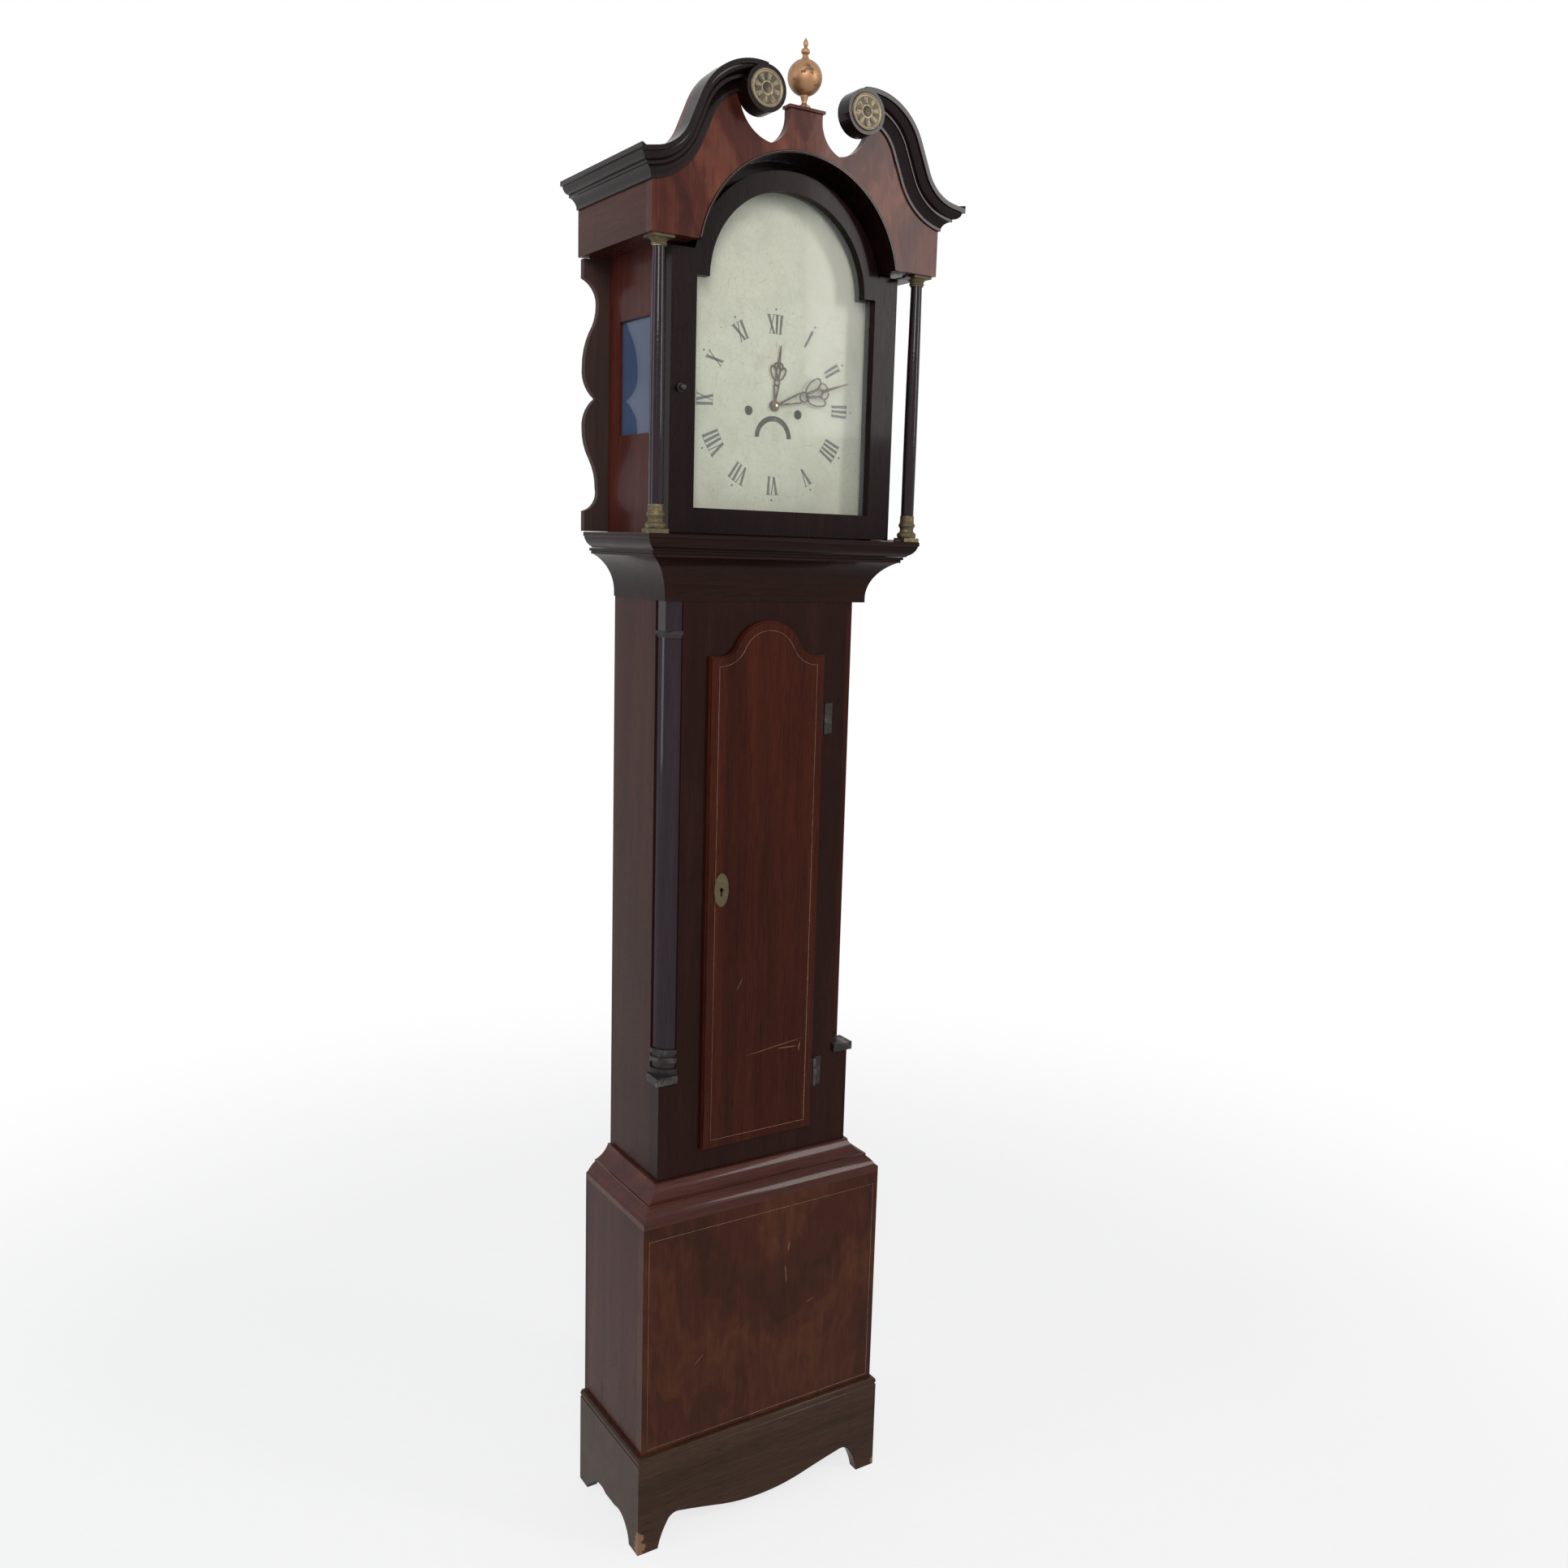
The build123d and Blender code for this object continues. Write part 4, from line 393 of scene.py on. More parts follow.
def old_paint():
    """The dial's cream paint, gone green and grey, with a fine craquelure, and darker beyond a radius from
    the centre.
    """
    shade = Shade("old_dial_paint")
    x, y, z = shade.axes()
    out = ((x * x) + (z - DIAL_CENTRE.z) * (z - DIAL_CENTRE.z)) ** 0.5
    cloud = shade.noise(shade.place(), 8.0, 5.0, 0.6)
    grime = shade.noise(shade.place((1, 1, 1), (1, 5, 2)), 26.0, 6.0, 0.7)
    cracks = shade.node("ShaderNodeTexVoronoi", {"Vector": shade.place(), "Scale": 85.0},
                        feature="DISTANCE_TO_EDGE").below(0.02, 0.016)
    grey, cream, pale = (0.42, 0.44, 0.33), (0.51, 0.53, 0.41), (0.58, 0.58, 0.46)
    darkening_radius = 0.15
    colour = shade.ramp(cloud, (0.3, grey), (0.5, cream), (0.7, pale))
    colour = shade.blend(grime.above(0.58, 0.1) * 0.35, colour, (0.36, 0.34, 0.24))
    # Darker beyond a radius from the dial's centre.
    colour = shade.blend(out.above(darkening_radius, 0.03) * 0.25, colour, (0.40, 0.38, 0.27))
    colour = shade.blend(cracks * 0.4, colour, (0.30, 0.27, 0.19))
    return shade.surface(
        Base_Color=colour, Roughness=(0.38 + grime * 0.25).clamp(), Coat_Weight=0.2, Coat_Roughness=0.2,
        Normal=shade.bump(cracks * -1.0 + cloud * 0.6, 0.2, 0.0004))


def faded_ink():
    """Black ink worn thin, so that the ground's green shows in it."""
    shade = Shade("faded_ink")
    black, grey, rubbed = (0.045, 0.05, 0.042), (0.085, 0.088, 0.07), (0.26, 0.26, 0.19)
    wear = shade.noise(shade.place(), 160.0, 5.0, 0.7)
    colour = shade.ramp(wear, (0.35, black), (0.58, grey), (0.8, rubbed))
    return shade.surface(Base_Color=colour, Roughness=(0.45 + wear * 0.2).clamp(),
                         Normal=shade.bump(wear, 0.1, 0.0002))


def clear_glass(name, tint, cover):
    """Old sheet glass: a pane with a tint that hides a share of what is behind it; on the side panes the
    tint is a painted reflection.
    """
    shade = Shade(name)
    ripple = shade.noise(shade.place((1, 1, 0.4)), 7.0, 2.0, 0.4)
    dirt = shade.noise(shade.place(), 9.0, 3.0, 0.5)
    skin = shade.node("ShaderNodeBsdfPrincipled", {
        "Base Color": (*tint, 1.0), "Roughness": dirt * 0.08,
        "Specular IOR Level": 0.5, "Alpha": (dirt * (cover * 0.6) + cover * 0.7).clamp(),
        "Normal": shade.bump(ripple, 0.08, 0.002)})
    shade.tree.links.new(skin.socket, shade.end.inputs["Surface"])
    return shade.material


def gilt():
    """Worn copper-coloured gilding with the dark ground showing through."""
    shade = Shade("worn_gilding")
    rub = shade.noise(shade.place(), 70.0, 6.0, 0.7)
    fine = shade.noise(shade.place(), 400.0, 3.0, 0.6)
    bare = rub.above(0.60, 0.05)
    colour = shade.blend(bare, (0.36, 0.20, 0.10), (0.09, 0.045, 0.027))
    return shade.surface(Base_Color=colour, Metallic=(0.75 - bare * 0.7).clamp(),
                         Roughness=(0.36 + bare * 0.25 + fine * 0.2).clamp(),
                         Normal=shade.bump(rub + fine * 0.4, 0.25, 0.0004))


def shades(middle):
    """A dark, a middle and a light tone of one timber."""
    return tuple(c * 0.36 for c in middle), middle, tuple(c * 2.2 for c in middle)


def inlay_line():
    """A pale inlaid line, darkened where it has broken away."""
    shade = Shade("pale_stringing")
    fibre = shade.noise(shade.place((1, 1, 1)), 300.0, 4.0, 0.7)
    breaks = shade.noise(shade.place((1, 1, 1), (7, 7, 7)), 60.0, 3.0, 0.6).above(0.6, 0.04)
    colour = shade.ramp(fibre, (0.3, (0.15, 0.070, 0.032)), (0.7, (0.25, 0.125, 0.06)))
    colour = shade.blend(breaks * 0.8, colour, (0.06, 0.022, 0.012))
    return shade.surface(Base_Color=colour, Roughness=(0.3 + fibre * 0.2).clamp(), Coat_Weight=0.4,
                         Normal=shade.bump(fibre, 0.1, 0.0002))


def gut_cord():
    """Twisted gut."""
    shade = Shade("gut")
    twist = shade.noise(shade.place((1, 1, 0.5)), 900.0, 2.0, 0.5)
    colour = shade.ramp(twist, (0.3, (0.36, 0.25, 0.12)), (0.7, (0.62, 0.48, 0.28)))
    return shade.surface(Base_Color=colour, Roughness=(0.4 + twist * 0.2).clamp(),
                         Normal=shade.bump(twist, 0.5, 0.0004))


# Mesh helpers

def new_object(name, mesh, material=None):
    """A linked object of a mesh, with its material."""
    made = bpy.data.objects.new(name, mesh)
    bpy.context.scene.collection.objects.link(made)
    if material is not None:
        mesh.materials.clear()
        mesh.materials.append(material)
    return made


def plain_mesh(made, name, body):
    """The evaluated shape of an object as a plain mesh that rides on a body."""
    bpy.context.view_layer.update()
    graph = bpy.context.evaluated_depsgraph_get()
    mesh = bpy.data.meshes.new_from_object(made.evaluated_get(graph), depsgraph=graph)
    piece = bpy.data.objects.new(name, mesh)
    bpy.context.scene.collection.objects.link(piece)
    mesh.transform(made.matrix_world)
    bpy.data.objects.remove(made)
    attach(piece, body)
    return piece


def give(material, *names):
    """Finish the named nodes with one material."""
    for name in names:
        mesh = NODES[name].data
        mesh.materials.clear()
        mesh.materials.append(material)


def settings():
    return bpy.context.scene.clock_dressing


class Tree:
    """A geometry node tree with named inputs that ends in realized instances and a material."""

    def __init__(self, name, inputs):
        self.tree = bpy.data.node_groups.new(name, "GeometryNodeTree")
        face = self.tree.interface
        face.new_socket("Geometry", in_out="INPUT", socket_type="NodeSocketGeometry")
        for label, kind in inputs:
            face.new_socket(label, in_out="INPUT", socket_type=kind)
        face.new_socket("Geometry", in_out="OUTPUT", socket_type="NodeSocketGeometry")
        self.start = self.tree.nodes.new("NodeGroupInput")
        self.end = self.tree.nodes.new("NodeGroupOutput")

    def node(self, kind, values=None, **settings):
        made = self.tree.nodes.new(kind)
        for key, value in settings.items():
            setattr(made, key, value)
        for key, value in (values or {}).items():
            if hasattr(value, "is_linked"):
                self.tree.links.new(value, made.inputs[key])
            else:
                made.inputs[key].default_value = value
        return made

    def finish(self, geometry, material):
        real = self.node("GeometryNodeRealizeInstances", {0: geometry})
        coat = self.node("GeometryNodeSetMaterial", {0: real.outputs[0]})
        coat.inputs["Material"].default_value = material
        self.tree.links.new(coat.outputs[0], self.end.inputs[0])

    def run(self, made, values):
        modifier = made.modifiers.new("make", "NODES")
        modifier.node_group = self.tree
        for item in self.tree.interface.items_tree:
            if item.in_out == "INPUT" and item.name in values:
                modifier[item.identifier] = values[item.name]
        return made


def line_curve(name, points, closed):
    """A straight-sided curve through points."""
    data = bpy.data.curves.new(name, "CURVE")
    data.dimensions = "3D"
    spline = data.splines.new("POLY")
    spline.points.add(len(points) - 1)
    for point, place in zip(spline.points, points):
        point.co = (*place, 1.0)
    spline.use_cyclic_u = closed
    made = bpy.data.objects.new(name, data)
    bpy.context.scene.collection.objects.link(made)
    return made


def string_line(name, points, width, material, body, closed=True):
    """A flat inlaid line that follows a path on a front face."""
    curve = line_curve(name + "_path", points, closed)
    tree = Tree(name + "_nodes", [("Width", "NodeSocketFloat"), ("Height", "NodeSocketFloat")])
    start = tree.start.outputs
    section = tree.node("GeometryNodeCurvePrimitiveQuadrilateral",
                        {0: start["Width"], 1: start["Height"]})
    swept = tree.node("GeometryNodeCurveToMesh", {0: start["Geometry"], 1: section.outputs[0]})
    tree.finish(swept.outputs[0], material)
    tree.run(curve, {"Width": width, "Height": INLAY_RISE})
    return plain_mesh(curve, name, body)


def arc(centre, radius, first, last, y, steps=24):
    """Points along an arc that faces the front, between two angles in degrees."""
    points = []
    for i in range(steps + 1):
        angle = math.radians(first + (last - first) * i / steps)
        x = centre[0] + radius * math.cos(angle)
        z = centre[1] + radius * math.sin(angle)
        points.append((x, y, z))
    return points


def flat_faces(name, shapes, y, thick, material, body):
    """Thin plates from outlines given in x and z, standing on a front face at y."""
    shape = bmesh.new()
    for outline in shapes:
        back = [shape.verts.new((x, y, z)) for x, z in outline]
        front = [shape.verts.new((x, y - thick, z)) for x, z in outline]
        shape.faces.new(front)
        shape.faces.new(list(reversed(back)))
        for i in range(len(outline)):
            j = (i + 1) % len(outline)
            shape.faces.new((front[i], back[i], back[j], front[j]))
    bmesh.ops.recalc_face_normals(shape, faces=shape.faces)
    mesh = bpy.data.meshes.new(name)
    shape.to_mesh(mesh)
    shape.free()
    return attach(new_object(name, mesh, material), body)


# Numerals of the dial, from thick and thin strokes with serifs

def stroke(x0, x1, thick, height):
    """A slanted or upright stroke from the foot x0 to the head x1."""
    half = thick / 2
    return [(x0 - half, 0), (x0 + half, 0), (x1 + half, height), (x1 - half, height)]


def serif(x, z, reach):
    """A short level bar across the end of a stroke."""
    low, high = z - SERIF_HALF, z + SERIF_HALF
    return [(x - reach, low), (x + reach, low), (x + reach, high), (x - reach, high)]


def numeral(letters, height, thick, thin):
    """Outlines of a Roman numeral, standing on zero and centred."""
    widths = {"I": thick * 1.75, "V": height * 0.42, "X": height * 0.42}
    total = sum(widths[c] for c in letters)
    plain, broad, fine = thick * 0.85, thick * 0.95, thick * 0.7
    shapes = []
    left = -total / 2
    for c in letters:
        w = widths[c]
        middle = left + w / 2
        low, high = middle - w * 0.36, middle + w * 0.36
        if c == "I":
            shapes += [stroke(middle, middle, thick, height)]
            shapes += [serif(middle, z, plain) for z in (0, height)]
        if c == "V":
            shapes += [stroke(middle, low, thick, height), stroke(middle, high, thin, height)]
            shapes += [serif(low, height, broad), serif(high, height, fine)]
        if c == "X":
            shapes += [stroke(high, low, thick, height), stroke(low, high, thin, height)]
            shapes += [serif(low, z, broad if z else fine) for z in (0, height)]
            shapes += [serif(high, z, fine if z else broad) for z in (0, height)]
        left += w
    return shapes


def door_line(inset):
    """The trunk door's outline drawn in by an inset, as points in x and z."""
    half, bottom, shoulder, flat = 0.1025, 0.635, 1.417, 0.085
    hollow_r, crown_r = 0.031 + inset, 0.063 - inset
    hollow_steps, crown_steps = 8, 12
    turn = math.radians(64.8)
    shoulder -= inset
    marks = [(0.0, bottom + inset), (half - inset, bottom + inset), (half - inset, shoulder)]
    for i in range(hollow_steps + 1):
        a = turn * i / hollow_steps
        marks.append((flat - hollow_r * math.sin(a), shoulder + hollow_r * (1 - math.cos(a))))
    crown = marks[-1][1] - crown_r * math.cos(turn)
    for i in range(1, crown_steps + 1):
        a = turn * (1 - i / crown_steps)
        marks.append((crown_r * math.sin(a), crown + crown_r * math.cos(a)))
    return marks + [(-x, z) for x, z in reversed(marks[1:-1])]


# Properties and operators

class ClockDressing(bpy.types.PropertyGroup):
    """Sizes and colours of the clock's dressing."""

    timber: bpy.props.FloatVectorProperty(
        name="Timber", description="Middle tone of the mahogany", subtype="COLOR", size=3,
        default=(0.0185, 0.0052, 0.0032))
    ink: bpy.props.FloatProperty(
        name="Numeral height", description="Height of the dial's numerals", unit="LENGTH",
        default=0.027)
    ring: bpy.props.FloatProperty(
        name="Numeral ring", description="Radius of the numerals' feet", unit="LENGTH",
        default=0.104)
    dots: bpy.props.FloatProperty(
        name="Minute ring", description="Radius of the ring of minute dots", unit="LENGTH",
        default=0.1385)
    line: bpy.props.FloatProperty(
        name="Stringing", description="Width of the pale inlaid line", unit="LENGTH",
        default=0.0016)


class CLOCK_OT_timber(bpy.types.Operator):
    """Varnish the case, the hood and the doors"""
    bl_idname = "clock.timber"
    bl_label = "Timber"

    def execute(self, context):
        self.coat("trunk_mahogany", "Z", tuple(settings().timber), 0.20, "trunk_front_frame")
        self.coat("trunk_side_mahogany", "Z", TRUNK_SIDE, 0.18, "trunk_sides", seed=11.0)
        self.coat("base_side_mahogany", "Z", BASE_SIDE, 0.18, "base_sides", seed=4.0)
        self.coat("hood_side_mahogany", "Z", HOOD_SIDE, 0.22, "hood_sides", seed=7.0)
        self.coat("door_mahogany", "Z", DOOR, 0.18, "trunk_door", seed=3.0, stripe=0.9,
                  scratches=DOOR_SCRATCHES)
        self.coat("hood_door_mahogany", "Z", BLACKENED, 0.15, "hood_door", "hood_mask", seed=5.0)
        # The columns' tone carries a painted bluish reflection.
        self.coat("column_mahogany_painted_sheen", "Z", COLUMN_WITH_PAINTED_SHEEN, 0.12, "hood_columns", "quarter_column",
                  coat=0.4, seed=8.0)
        self.coat("cornice_mahogany", "X", BLACKENED, 0.18, "swan_necks", "cornice_returns",
                  "arch_liner", coat=0.25, seed=2.0)
        self.coat("moulding_mahogany", "X", MOULDING, 0.20, "throat_moulding", "hood_base_frame",
                  seed=9.0)
        self.coat("base_moulding_mahogany", "X", BASE_MOULDING, 0.18, "base_moulding",
                  coat=0.25, seed=10.0)
        self.coat("plinth_mahogany", "X", PLINTH, 0.22, "plinth", seed=6.0, stripe=0.3,
                  chips=PLINTH_CHIPS)
        give(flame_timber("flame_veneer", BASE_FLAME, 0.03, 17.0, 15.0, 0.17, scratches=PANEL_SCRATCHES),
             "base_front_panel")
        give(flame_timber("frieze_veneer", FRIEZE_FLAME, 0.0, 20.0, 30.0, 0.13, bold=1.6),
             "frieze_board")
        self.coat("frieze_return_veneer", "Y", FRIEZE_RETURN, 0.18, "frieze_returns", seed=1.0)
        give(bare_timber("stained_pine", "Z", shades(BACKBOARD)), "backboard")
        give(bare_timber("old_pine_level", "X", OLD_PINE), "seat_board", "hood_roof")
        give(gilt(), "finial")
        return {"FINISHED"}

    def coat(self, name, along, middle, gloss, *nodes, **look):
        """Varnish the named nodes from the middle tone of their timber."""
        give(straight_timber(name, along, shades(middle), gloss, **look), *nodes)


class CLOCK_OT_metalwork(bpy.types.Operator):
    """Finish the brass, steel and iron"""
    bl_idname = "clock.metalwork"
    bl_label = "Metalwork"

    def execute(self, context):
        give(metal("tarnished_brass", (0.26, 0.20, 0.105), (0.06, 0.047, 0.026), 0.75, 0.32),
             "trunk_door_escutcheon", "column_brasses")
        give(rosette_brass_painted_highlights(), "rosettes")
        give(metal("blackened_brass", (0.095, 0.085, 0.078), (0.012, 0.0105, 0.0095), 0.75, 0.20),
             "quarter_column_brasses", "trunk_hinge_case_leaves", "trunk_hinge_door_leaves",
             "hood_door_straps", "hood_door_knob")
        # The date disc's dark colour is painted shade behind the dial's mouth.
        give(metal("date_disc_painted_shade", (0.13, 0.11, 0.075), (0.04, 0.034, 0.024), 0.6, 0.5), "date_disc")
        clock_brass = metal("clock_brass", (0.62, 0.47, 0.21), (0.30, 0.21, 0.09), 0.3, 0.22, brush=0.5)
        give(clock_brass, "movement_plates", "plate_pillars", "going_barrel", "strike_barrel",
             "going_great_wheel", "centre_wheel", "hour_wheel", "minute_wheel", "third_wheel",
             "escape_wheel", "pendulum_bob", "going_pulley", "strike_pulley")
        give(metal("bell_metal", (0.50, 0.40, 0.24), (0.20, 0.15, 0.08), 0.4, 0.3, brush=0.8),
             "bell_and_stand")
        give(metal("old_steel", (0.32, 0.32, 0.33), (0.10, 0.08, 0.07), 0.5, 0.3), "anchor",
             "pendulum_rod", "strike_hammer", "trunk_door_lock")
        give(metal("hand_brass", (0.15, 0.095, 0.055), (0.05, 0.033, 0.022), 0.6, 0.4),
             "hour_hand", "minute_hand")
        give(metal("cast_iron", (0.09, 0.09, 0.095), (0.05, 0.035, 0.03), 0.6, 0.5),
             "going_weight", "strike_weight")
        give(gut_cord(), "line_tops")
        return {"FINISHED"}


class CLOCK_OT_glazing(bpy.types.Operator):
    """Glaze the hood door and the hood's side windows"""
    bl_idname = "clock.glazing"
    bl_label = "Glazing"

    def execute(self, context):
        give(clear_glass("sheet_glass", (0.75, 0.80, 0.76), 0.07), "hood_door_glass")
        # The side panes' dark blue is a painted reflection of the window light.
        give(clear_glass("side_glass_painted_reflection", (0.075, 0.115, 0.21), 0.55), "hood_side_glasses")
        return {"FINISHED"}


class CLOCK_OT_dial(bpy.types.Operator):
    """Paint the dial and write its numerals and minute dots"""
    bl_idname = "clock.dial"
    bl_label = "Dial"

    def execute(self, context):
        give(old_paint(), "dial_plate")
        ink = faded_ink()
        values = settings()
        shapes = []
        for hour, letters in enumerate("XII I II III IIII V VI VII VIII IX X XI".split()):
            turn = math.radians(30 * hour)
            for outline in numeral(letters, values.ink, THICK_STROKE, THIN_STROKE):
                placed = []
                for x, z in outline:
                    reach = values.ring + z
                    angle = turn + x / (values.ring + values.ink * 0.5)
                    high = DIAL_CENTRE.z + reach * math.cos(angle)
                    placed.append((reach * math.sin(angle), high))
                shapes.append(placed)
        flat_faces("numerals", shapes, DIAL_FACE, INK_RISE, ink, "case")
        self.minute_dots(values.dots, ink)
        return {"FINISHED"}

    def minute_dots(self, radius, ink):
        """A dot for each minute, with a larger one at every fifth."""
        plain_size, fifth_size = 0.55, 1.35
        tree = Tree("minute_dots_nodes", [("Radius", "NodeSocketFloat"), ("Dot", "NodeSocketFloat")])
        start = tree.start.outputs
        ring = tree.node("GeometryNodeMeshCircle", {"Vertices": MINUTES, "Radius": start["Radius"]})
        dot = tree.node("GeometryNodeMeshCylinder",
                        {"Vertices": 10, "Radius": start["Dot"], "Depth": 2 * INK_RISE})
        laid = tree.node("GeometryNodeInstanceOnPoints",
                         {"Points": ring.outputs[0], "Instance": dot.outputs[0]})
        index = tree.node("GeometryNodeInputIndex").outputs[0]
        rest = tree.node("FunctionNodeIntegerMath", {0: index, 1: 5}, operation="MODULO").outputs[0]
        fifth = tree.node("FunctionNodeCompare", {2: rest, 3: 0}, data_type="INT", operation="EQUAL")
        size = tree.node("GeometryNodeSwitch",
                         {"Switch": fifth.outputs[0], "False": plain_size, "True": fifth_size},
                         input_type="FLOAT")
        tree.tree.links.new(size.outputs[0], laid.inputs["Scale"])
        tree.finish(laid.outputs[0], ink)
        host = new_object("minute_dots_host", bpy.data.meshes.new("minute_dots_host"))
        host.matrix_world = Matrix.Translation(DIAL_CENTRE) @ Matrix.Rotation(math.radians(90), 4, "X")
        tree.run(host, {"Radius": radius, "Dot": DOT_R})
        plain_mesh(host, "minute_dots", "case")


class CLOCK_OT_stringing(bpy.types.Operator):
    """Inlay the pale lines of the base panel, the trunk door and the frieze arch"""
    bl_idname = "clock.stringing"
    bl_label = "Stringing"

    def execute(self, context):
        material = inlay_line()
        width = settings().line
        half, low, high = PANEL_LINE_HALF, PANEL_LINE_LOW, PANEL_LINE_HIGH
        corners = [(-half, low), (half, low), (half, high), (-half, high)]
        around = [(x, PANEL_FACE, z) for x, z in corners]
        string_line("base_panel_line", around, width, material, "case")
        door = [(x, DOOR_FACE, z) for x, z in door_line(DOOR_LINE_INSET)]
        string_line("trunk_door_line", door, width, material, "trunk_door")
        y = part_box("arch_liner")[0].y
        arch = arc(ARCH_CENTRE, ARCH_LINE_R, 11, 169, y, 48)
        string_line("arch_line", arch, width * 0.8, material, "hood", closed=False)
        return {"FINISHED"}


class CLOCK_OT_lines(bpy.types.Operator):
    """Hang the two gut lines on their pulleys"""
    bl_idname = "clock.lines"
    bl_label = "Gut lines"

    def execute(self, context):
        material = gut_cord()
        radius = 0.0008
        lift = 1.070
        for name in ("going", "strike"):
            low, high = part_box(name + "_line")
            x0, x1 = low.x + radius, high.x - radius
            y = (low.y + high.y) / 2
            reach = (x1 - x0) / 2
            pulley = low.z + radius + reach
            for side, x in (("left", x0), ("right", x1)):
                ends = [(x, y, pulley), (x, y, high.z)]
                leg = self.tube(name + "_line_" + side, ends, radius, material, "case")
                if side == "left":
                    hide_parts(name + "_line")
                (high.z - pulley - lift) / (high.z - pulley)
                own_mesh(leg)
            loop = arc(((x0 + x1) / 2, pulley), reach, 180, 360, y, 20)
            self.tube(name + "_line_loop", loop, radius, material, name + "_weight")
        return {"FINISHED"}

    def tube(self, name, points, radius, material, body):
        """A round cord through points."""
        curve = line_curve(name + "_path", points, False)
        curve.data.bevel_depth = radius
        curve.data.bevel_resolution = 3
        curve.data.use_fill_caps = True
        curve.data.materials.append(material)
        return plain_mesh(curve, name, body)


class CLOCK_OT_stage(bpy.types.Operator):
    """Set the floor, the backdrop, the lights and the camera"""
    bl_idname = "clock.stage"
    bl_label = "Stage"

    def execute(self, context):
        self.floor()
        self.world()
        self.lamp("key", (-1.9, -3.2, 3.3), (0, 0, 1.2), 1.2, 1.8, 86, (1.0, 0.98, 0.95))
        self.lamp("fill", (2.25, -2.9, 2.75), (0, 0, 1.5), 0.7, 1.5, 40, (1.0, 0.97, 0.94))
        self.lamp("left_window", (-3.4, 0.3, 1.9), (0, 0, 1.4), 0.9, 2.4, 34, (0.80, 0.87, 1.0))
        self.camera()
        return {"FINISHED"}

    def floor(self):
        """A pale floor that fades into the white round it and keeps the shadow."""
        reach = 30
        fade_middle, fade_width = 1.9, 0.9
        near_white = 0.76
        corners = [(-reach, -reach, 0), (reach, -reach, 0), (reach, reach, 0), (-reach, reach, 0)]
        mesh = bpy.data.meshes.new("floor")
        mesh.from_pydata(corners, [], [(0, 1, 2, 3)])
        shade = Shade("pale_floor")
        speck = shade.noise(shade.place(), 40.0, 3.0, 0.5)
        colour = shade.ramp(speck, (0.3, (0.80, 0.80, 0.80)), (0.7, (0.84, 0.84, 0.84)))
        lit = shade.node("ShaderNodeBsdfDiffuse", {"Color": colour})
        white = shade.node("ShaderNodeEmission", {"Color": (1, 1, 1, 1), "Strength": 1.0})
        path = shade.tree.nodes.new("ShaderNodeLightPath")
        seen = [Wire(shade, path.outputs[label])
                for label in ("Is Camera Ray", "Is Glossy Ray", "Is Transmission Ray")]
        x, y, z = shade.axes()
        far = (x * x + y * y) ** 0.5
        white_share = far.above(fade_middle, fade_width) * (1 - near_white) + near_white
        share = (seen[0] + seen[1] + seen[2]).clamp() * white_share
        mix = shade.node("ShaderNodeMixShader", {0: share, 1: lit, 2: white})
        shade.tree.links.new(mix.socket, shade.end.inputs["Surface"])
        new_object("floor", mesh, shade.material)

    def world(self):
        """White where it is seen, mirrored or looked at through glass, and dim as a light."""
        world = bpy.data.worlds.new("studio")
        world.use_nodes = True
        tree = world.node_tree
        tree.nodes.clear()
        end = tree.nodes.new("ShaderNodeOutputWorld")
        seen = tree.nodes.new("ShaderNodeBackground")
        lit = tree.nodes.new("ShaderNodeBackground")
        path = tree.nodes.new("ShaderNodeLightPath")
        through = tree.nodes.new("ShaderNodeMath")
        through.operation = "MAXIMUM"
        mirrored = tree.nodes.new("ShaderNodeMath")
        mirrored.operation = "MAXIMUM"
        mix = tree.nodes.new("ShaderNodeMixShader")
        seen.inputs["Color"].default_value = (1, 1, 1, 1)
        seen.inputs["Strength"].default_value = 1.0
        lit.inputs["Color"].default_value = (0.92, 0.95, 1.0, 1)
        lit.inputs["Strength"].default_value = 0.32
        tree.links.new(path.outputs["Is Camera Ray"], through.inputs[0])
        tree.links.new(path.outputs["Is Transmission Ray"], through.inputs[1])
        tree.links.new(through.outputs[0], mirrored.inputs[0])
        tree.links.new(path.outputs["Is Glossy Ray"], mirrored.inputs[1])
        tree.links.new(mirrored.outputs[0], mix.inputs[0])
        tree.links.new(lit.outputs[0], mix.inputs[1])
        tree.links.new(seen.outputs[0], mix.inputs[2])
        tree.links.new(mix.outputs[0], end.inputs["Surface"])
        bpy.context.scene.world = world

    def lamp(self, name, place, target, wide, tall, power, colour):
        """A soft rectangular lamp that faces its target."""
        data = bpy.data.lights.new(name, "AREA")
        data.shape = "RECTANGLE"
        data.size = wide
        data.size_y = tall
        data.energy = power
        data.color = colour
        made = bpy.data.objects.new(name, data)
        bpy.context.scene.collection.objects.link(made)
        made.location = place
        made.rotation_mode = "QUATERNION"
        made.rotation_quaternion = (Vector(target) - Vector(place)).to_track_quat("-Z", "Y")

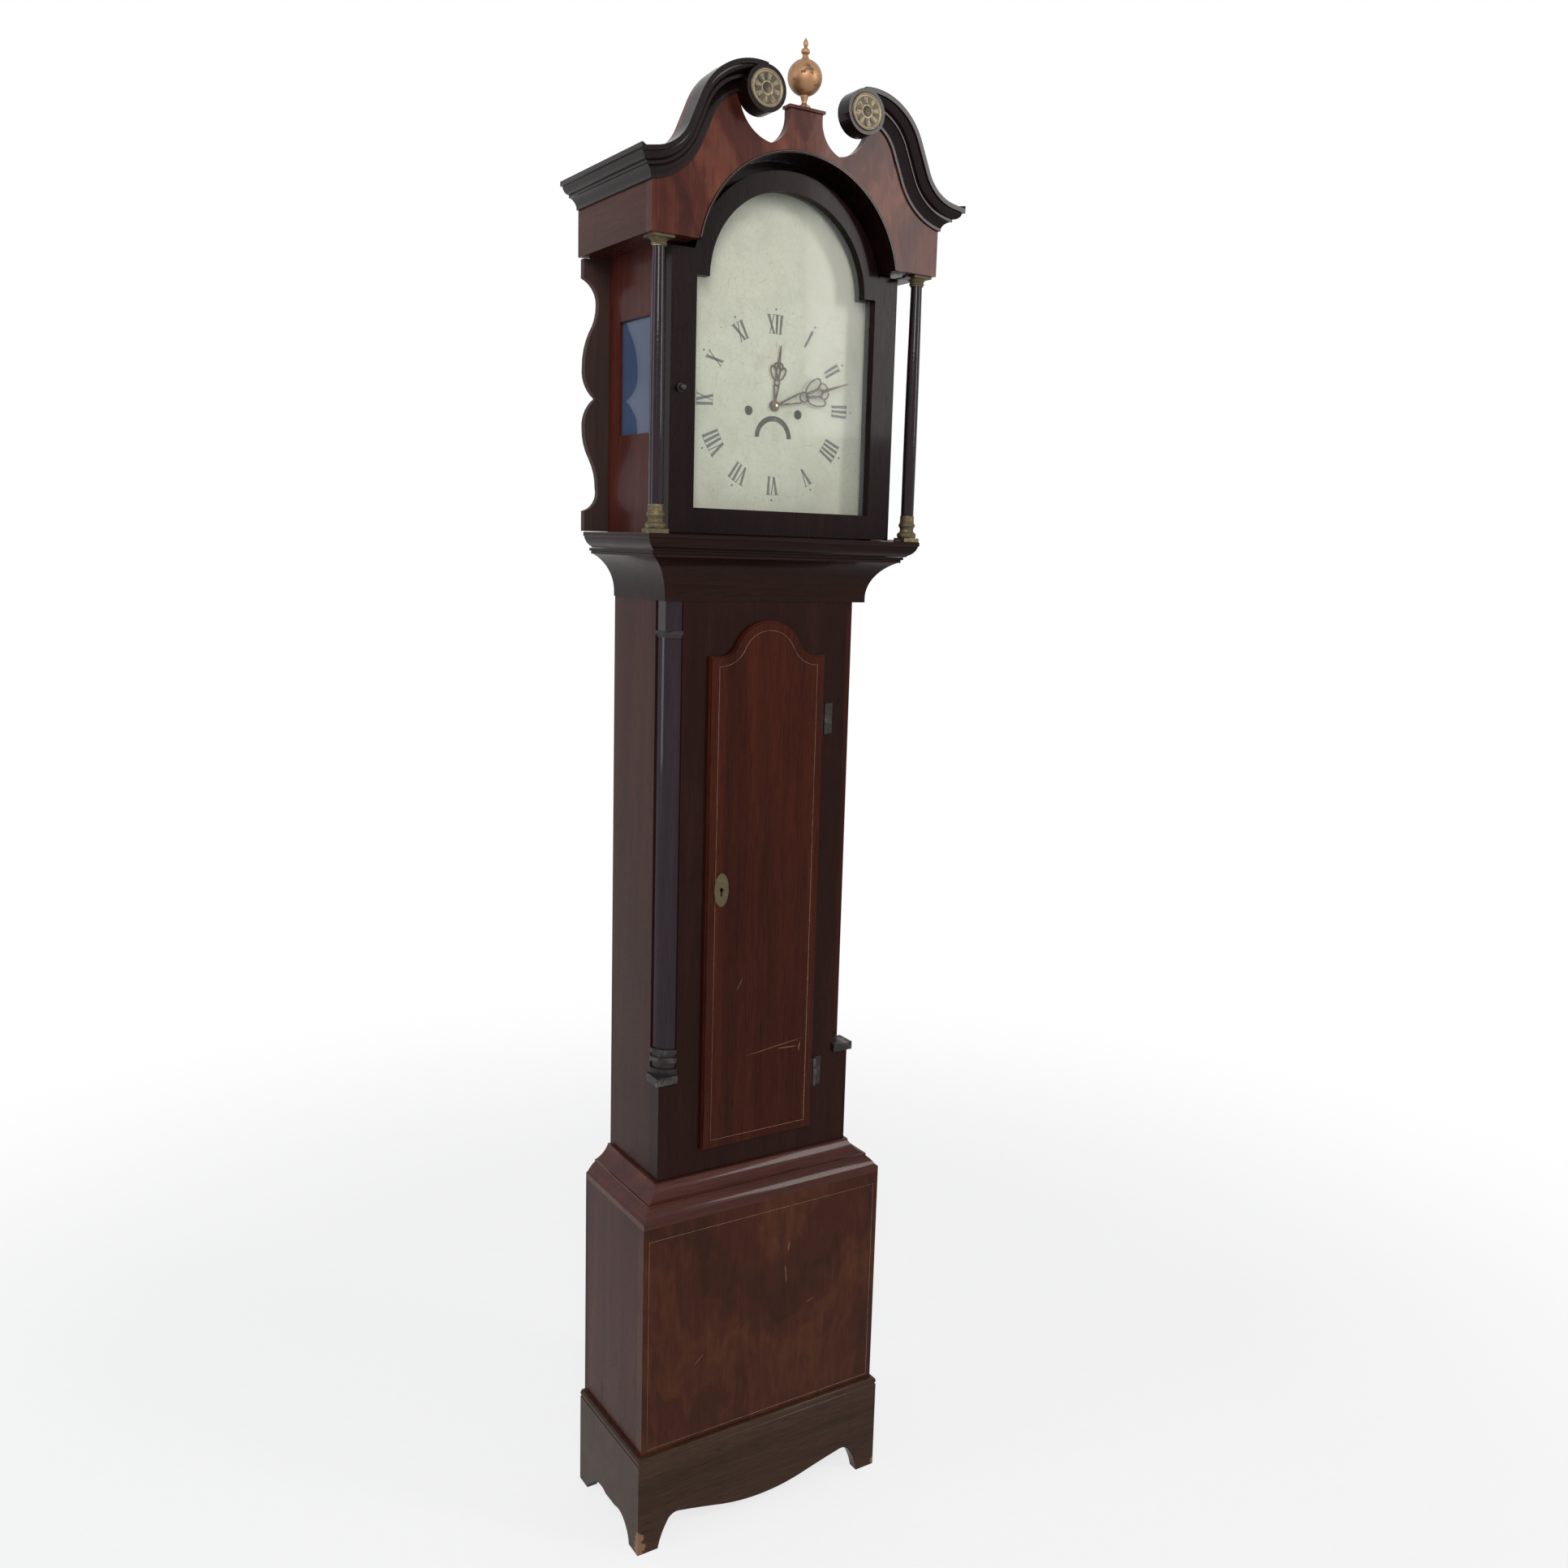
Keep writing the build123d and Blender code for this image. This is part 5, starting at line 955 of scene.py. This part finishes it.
    def camera(self):
        """The photo's camera, solved from the straight edges of the case."""
        eye = Vector((-1.126, -1.894, 1.582))
        yaw, pitch, roll = (math.radians(a) for a in (33.24, -9.29, 1.81))
        side, focal = 1932.0, 1739.0
        centre_x, centre_y = 1002.0, 960.0
        sensor = 36.0
        ahead = Vector((math.sin(yaw) * math.cos(pitch), math.cos(yaw) * math.cos(pitch), math.sin(pitch)))
        right = Vector((math.cos(yaw), -math.sin(yaw), 0))
        up = right.cross(ahead)
        across = right * math.cos(roll) + up * math.sin(roll)
        above = up * math.cos(roll) - right * math.sin(roll)
        data = bpy.data.cameras.new("camera")
        data.sensor_width = sensor
        data.lens = sensor * focal / side
        data.shift_x = (side / 2 - centre_x) / side
        data.shift_y = (centre_y - side / 2) / side
        data.clip_end = 100.0
        made = bpy.data.objects.new("camera", data)
        bpy.context.scene.collection.objects.link(made)
        matrix = Matrix((across, above, -ahead)).transposed().to_4x4()
        matrix.translation = eye
        made.matrix_world = matrix
        bpy.context.scene.camera = made


class CLOCK_PT_panel(bpy.types.Panel):
    """Lists the dressing's steps"""
    bl_idname = "CLOCK_PT_panel"
    bl_label = "Longcase clock"
    bl_space_type = "VIEW_3D"
    bl_region_type = "UI"
    bl_category = "Clock"

    def draw(self, context):
        values = settings()
        for name in ("timber", "ink", "ring", "dots", "line"):
            self.layout.prop(values, name)
        for step in STEPS:
            self.layout.operator(step.bl_idname)


STEPS = (CLOCK_OT_timber, CLOCK_OT_metalwork, CLOCK_OT_glazing, CLOCK_OT_dial, CLOCK_OT_stringing,
         CLOCK_OT_lines, CLOCK_OT_stage)


def register():
    for made in (ClockDressing, *STEPS, CLOCK_PT_panel):
        bpy.utils.register_class(made)
    bpy.types.Scene.clock_dressing = bpy.props.PointerProperty(type=ClockDressing)


def unregister():
    del bpy.types.Scene.clock_dressing
    for made in reversed((ClockDressing, *STEPS, CLOCK_PT_panel)):
        bpy.utils.unregister_class(made)


def main():
    register()
    bpy.context.scene.view_settings.view_transform = "Standard"
    for step in STEPS:
        group, name = step.bl_idname.split(".")
        getattr(getattr(bpy.ops, group), name)()


if __name__ == "__main__":
    main()
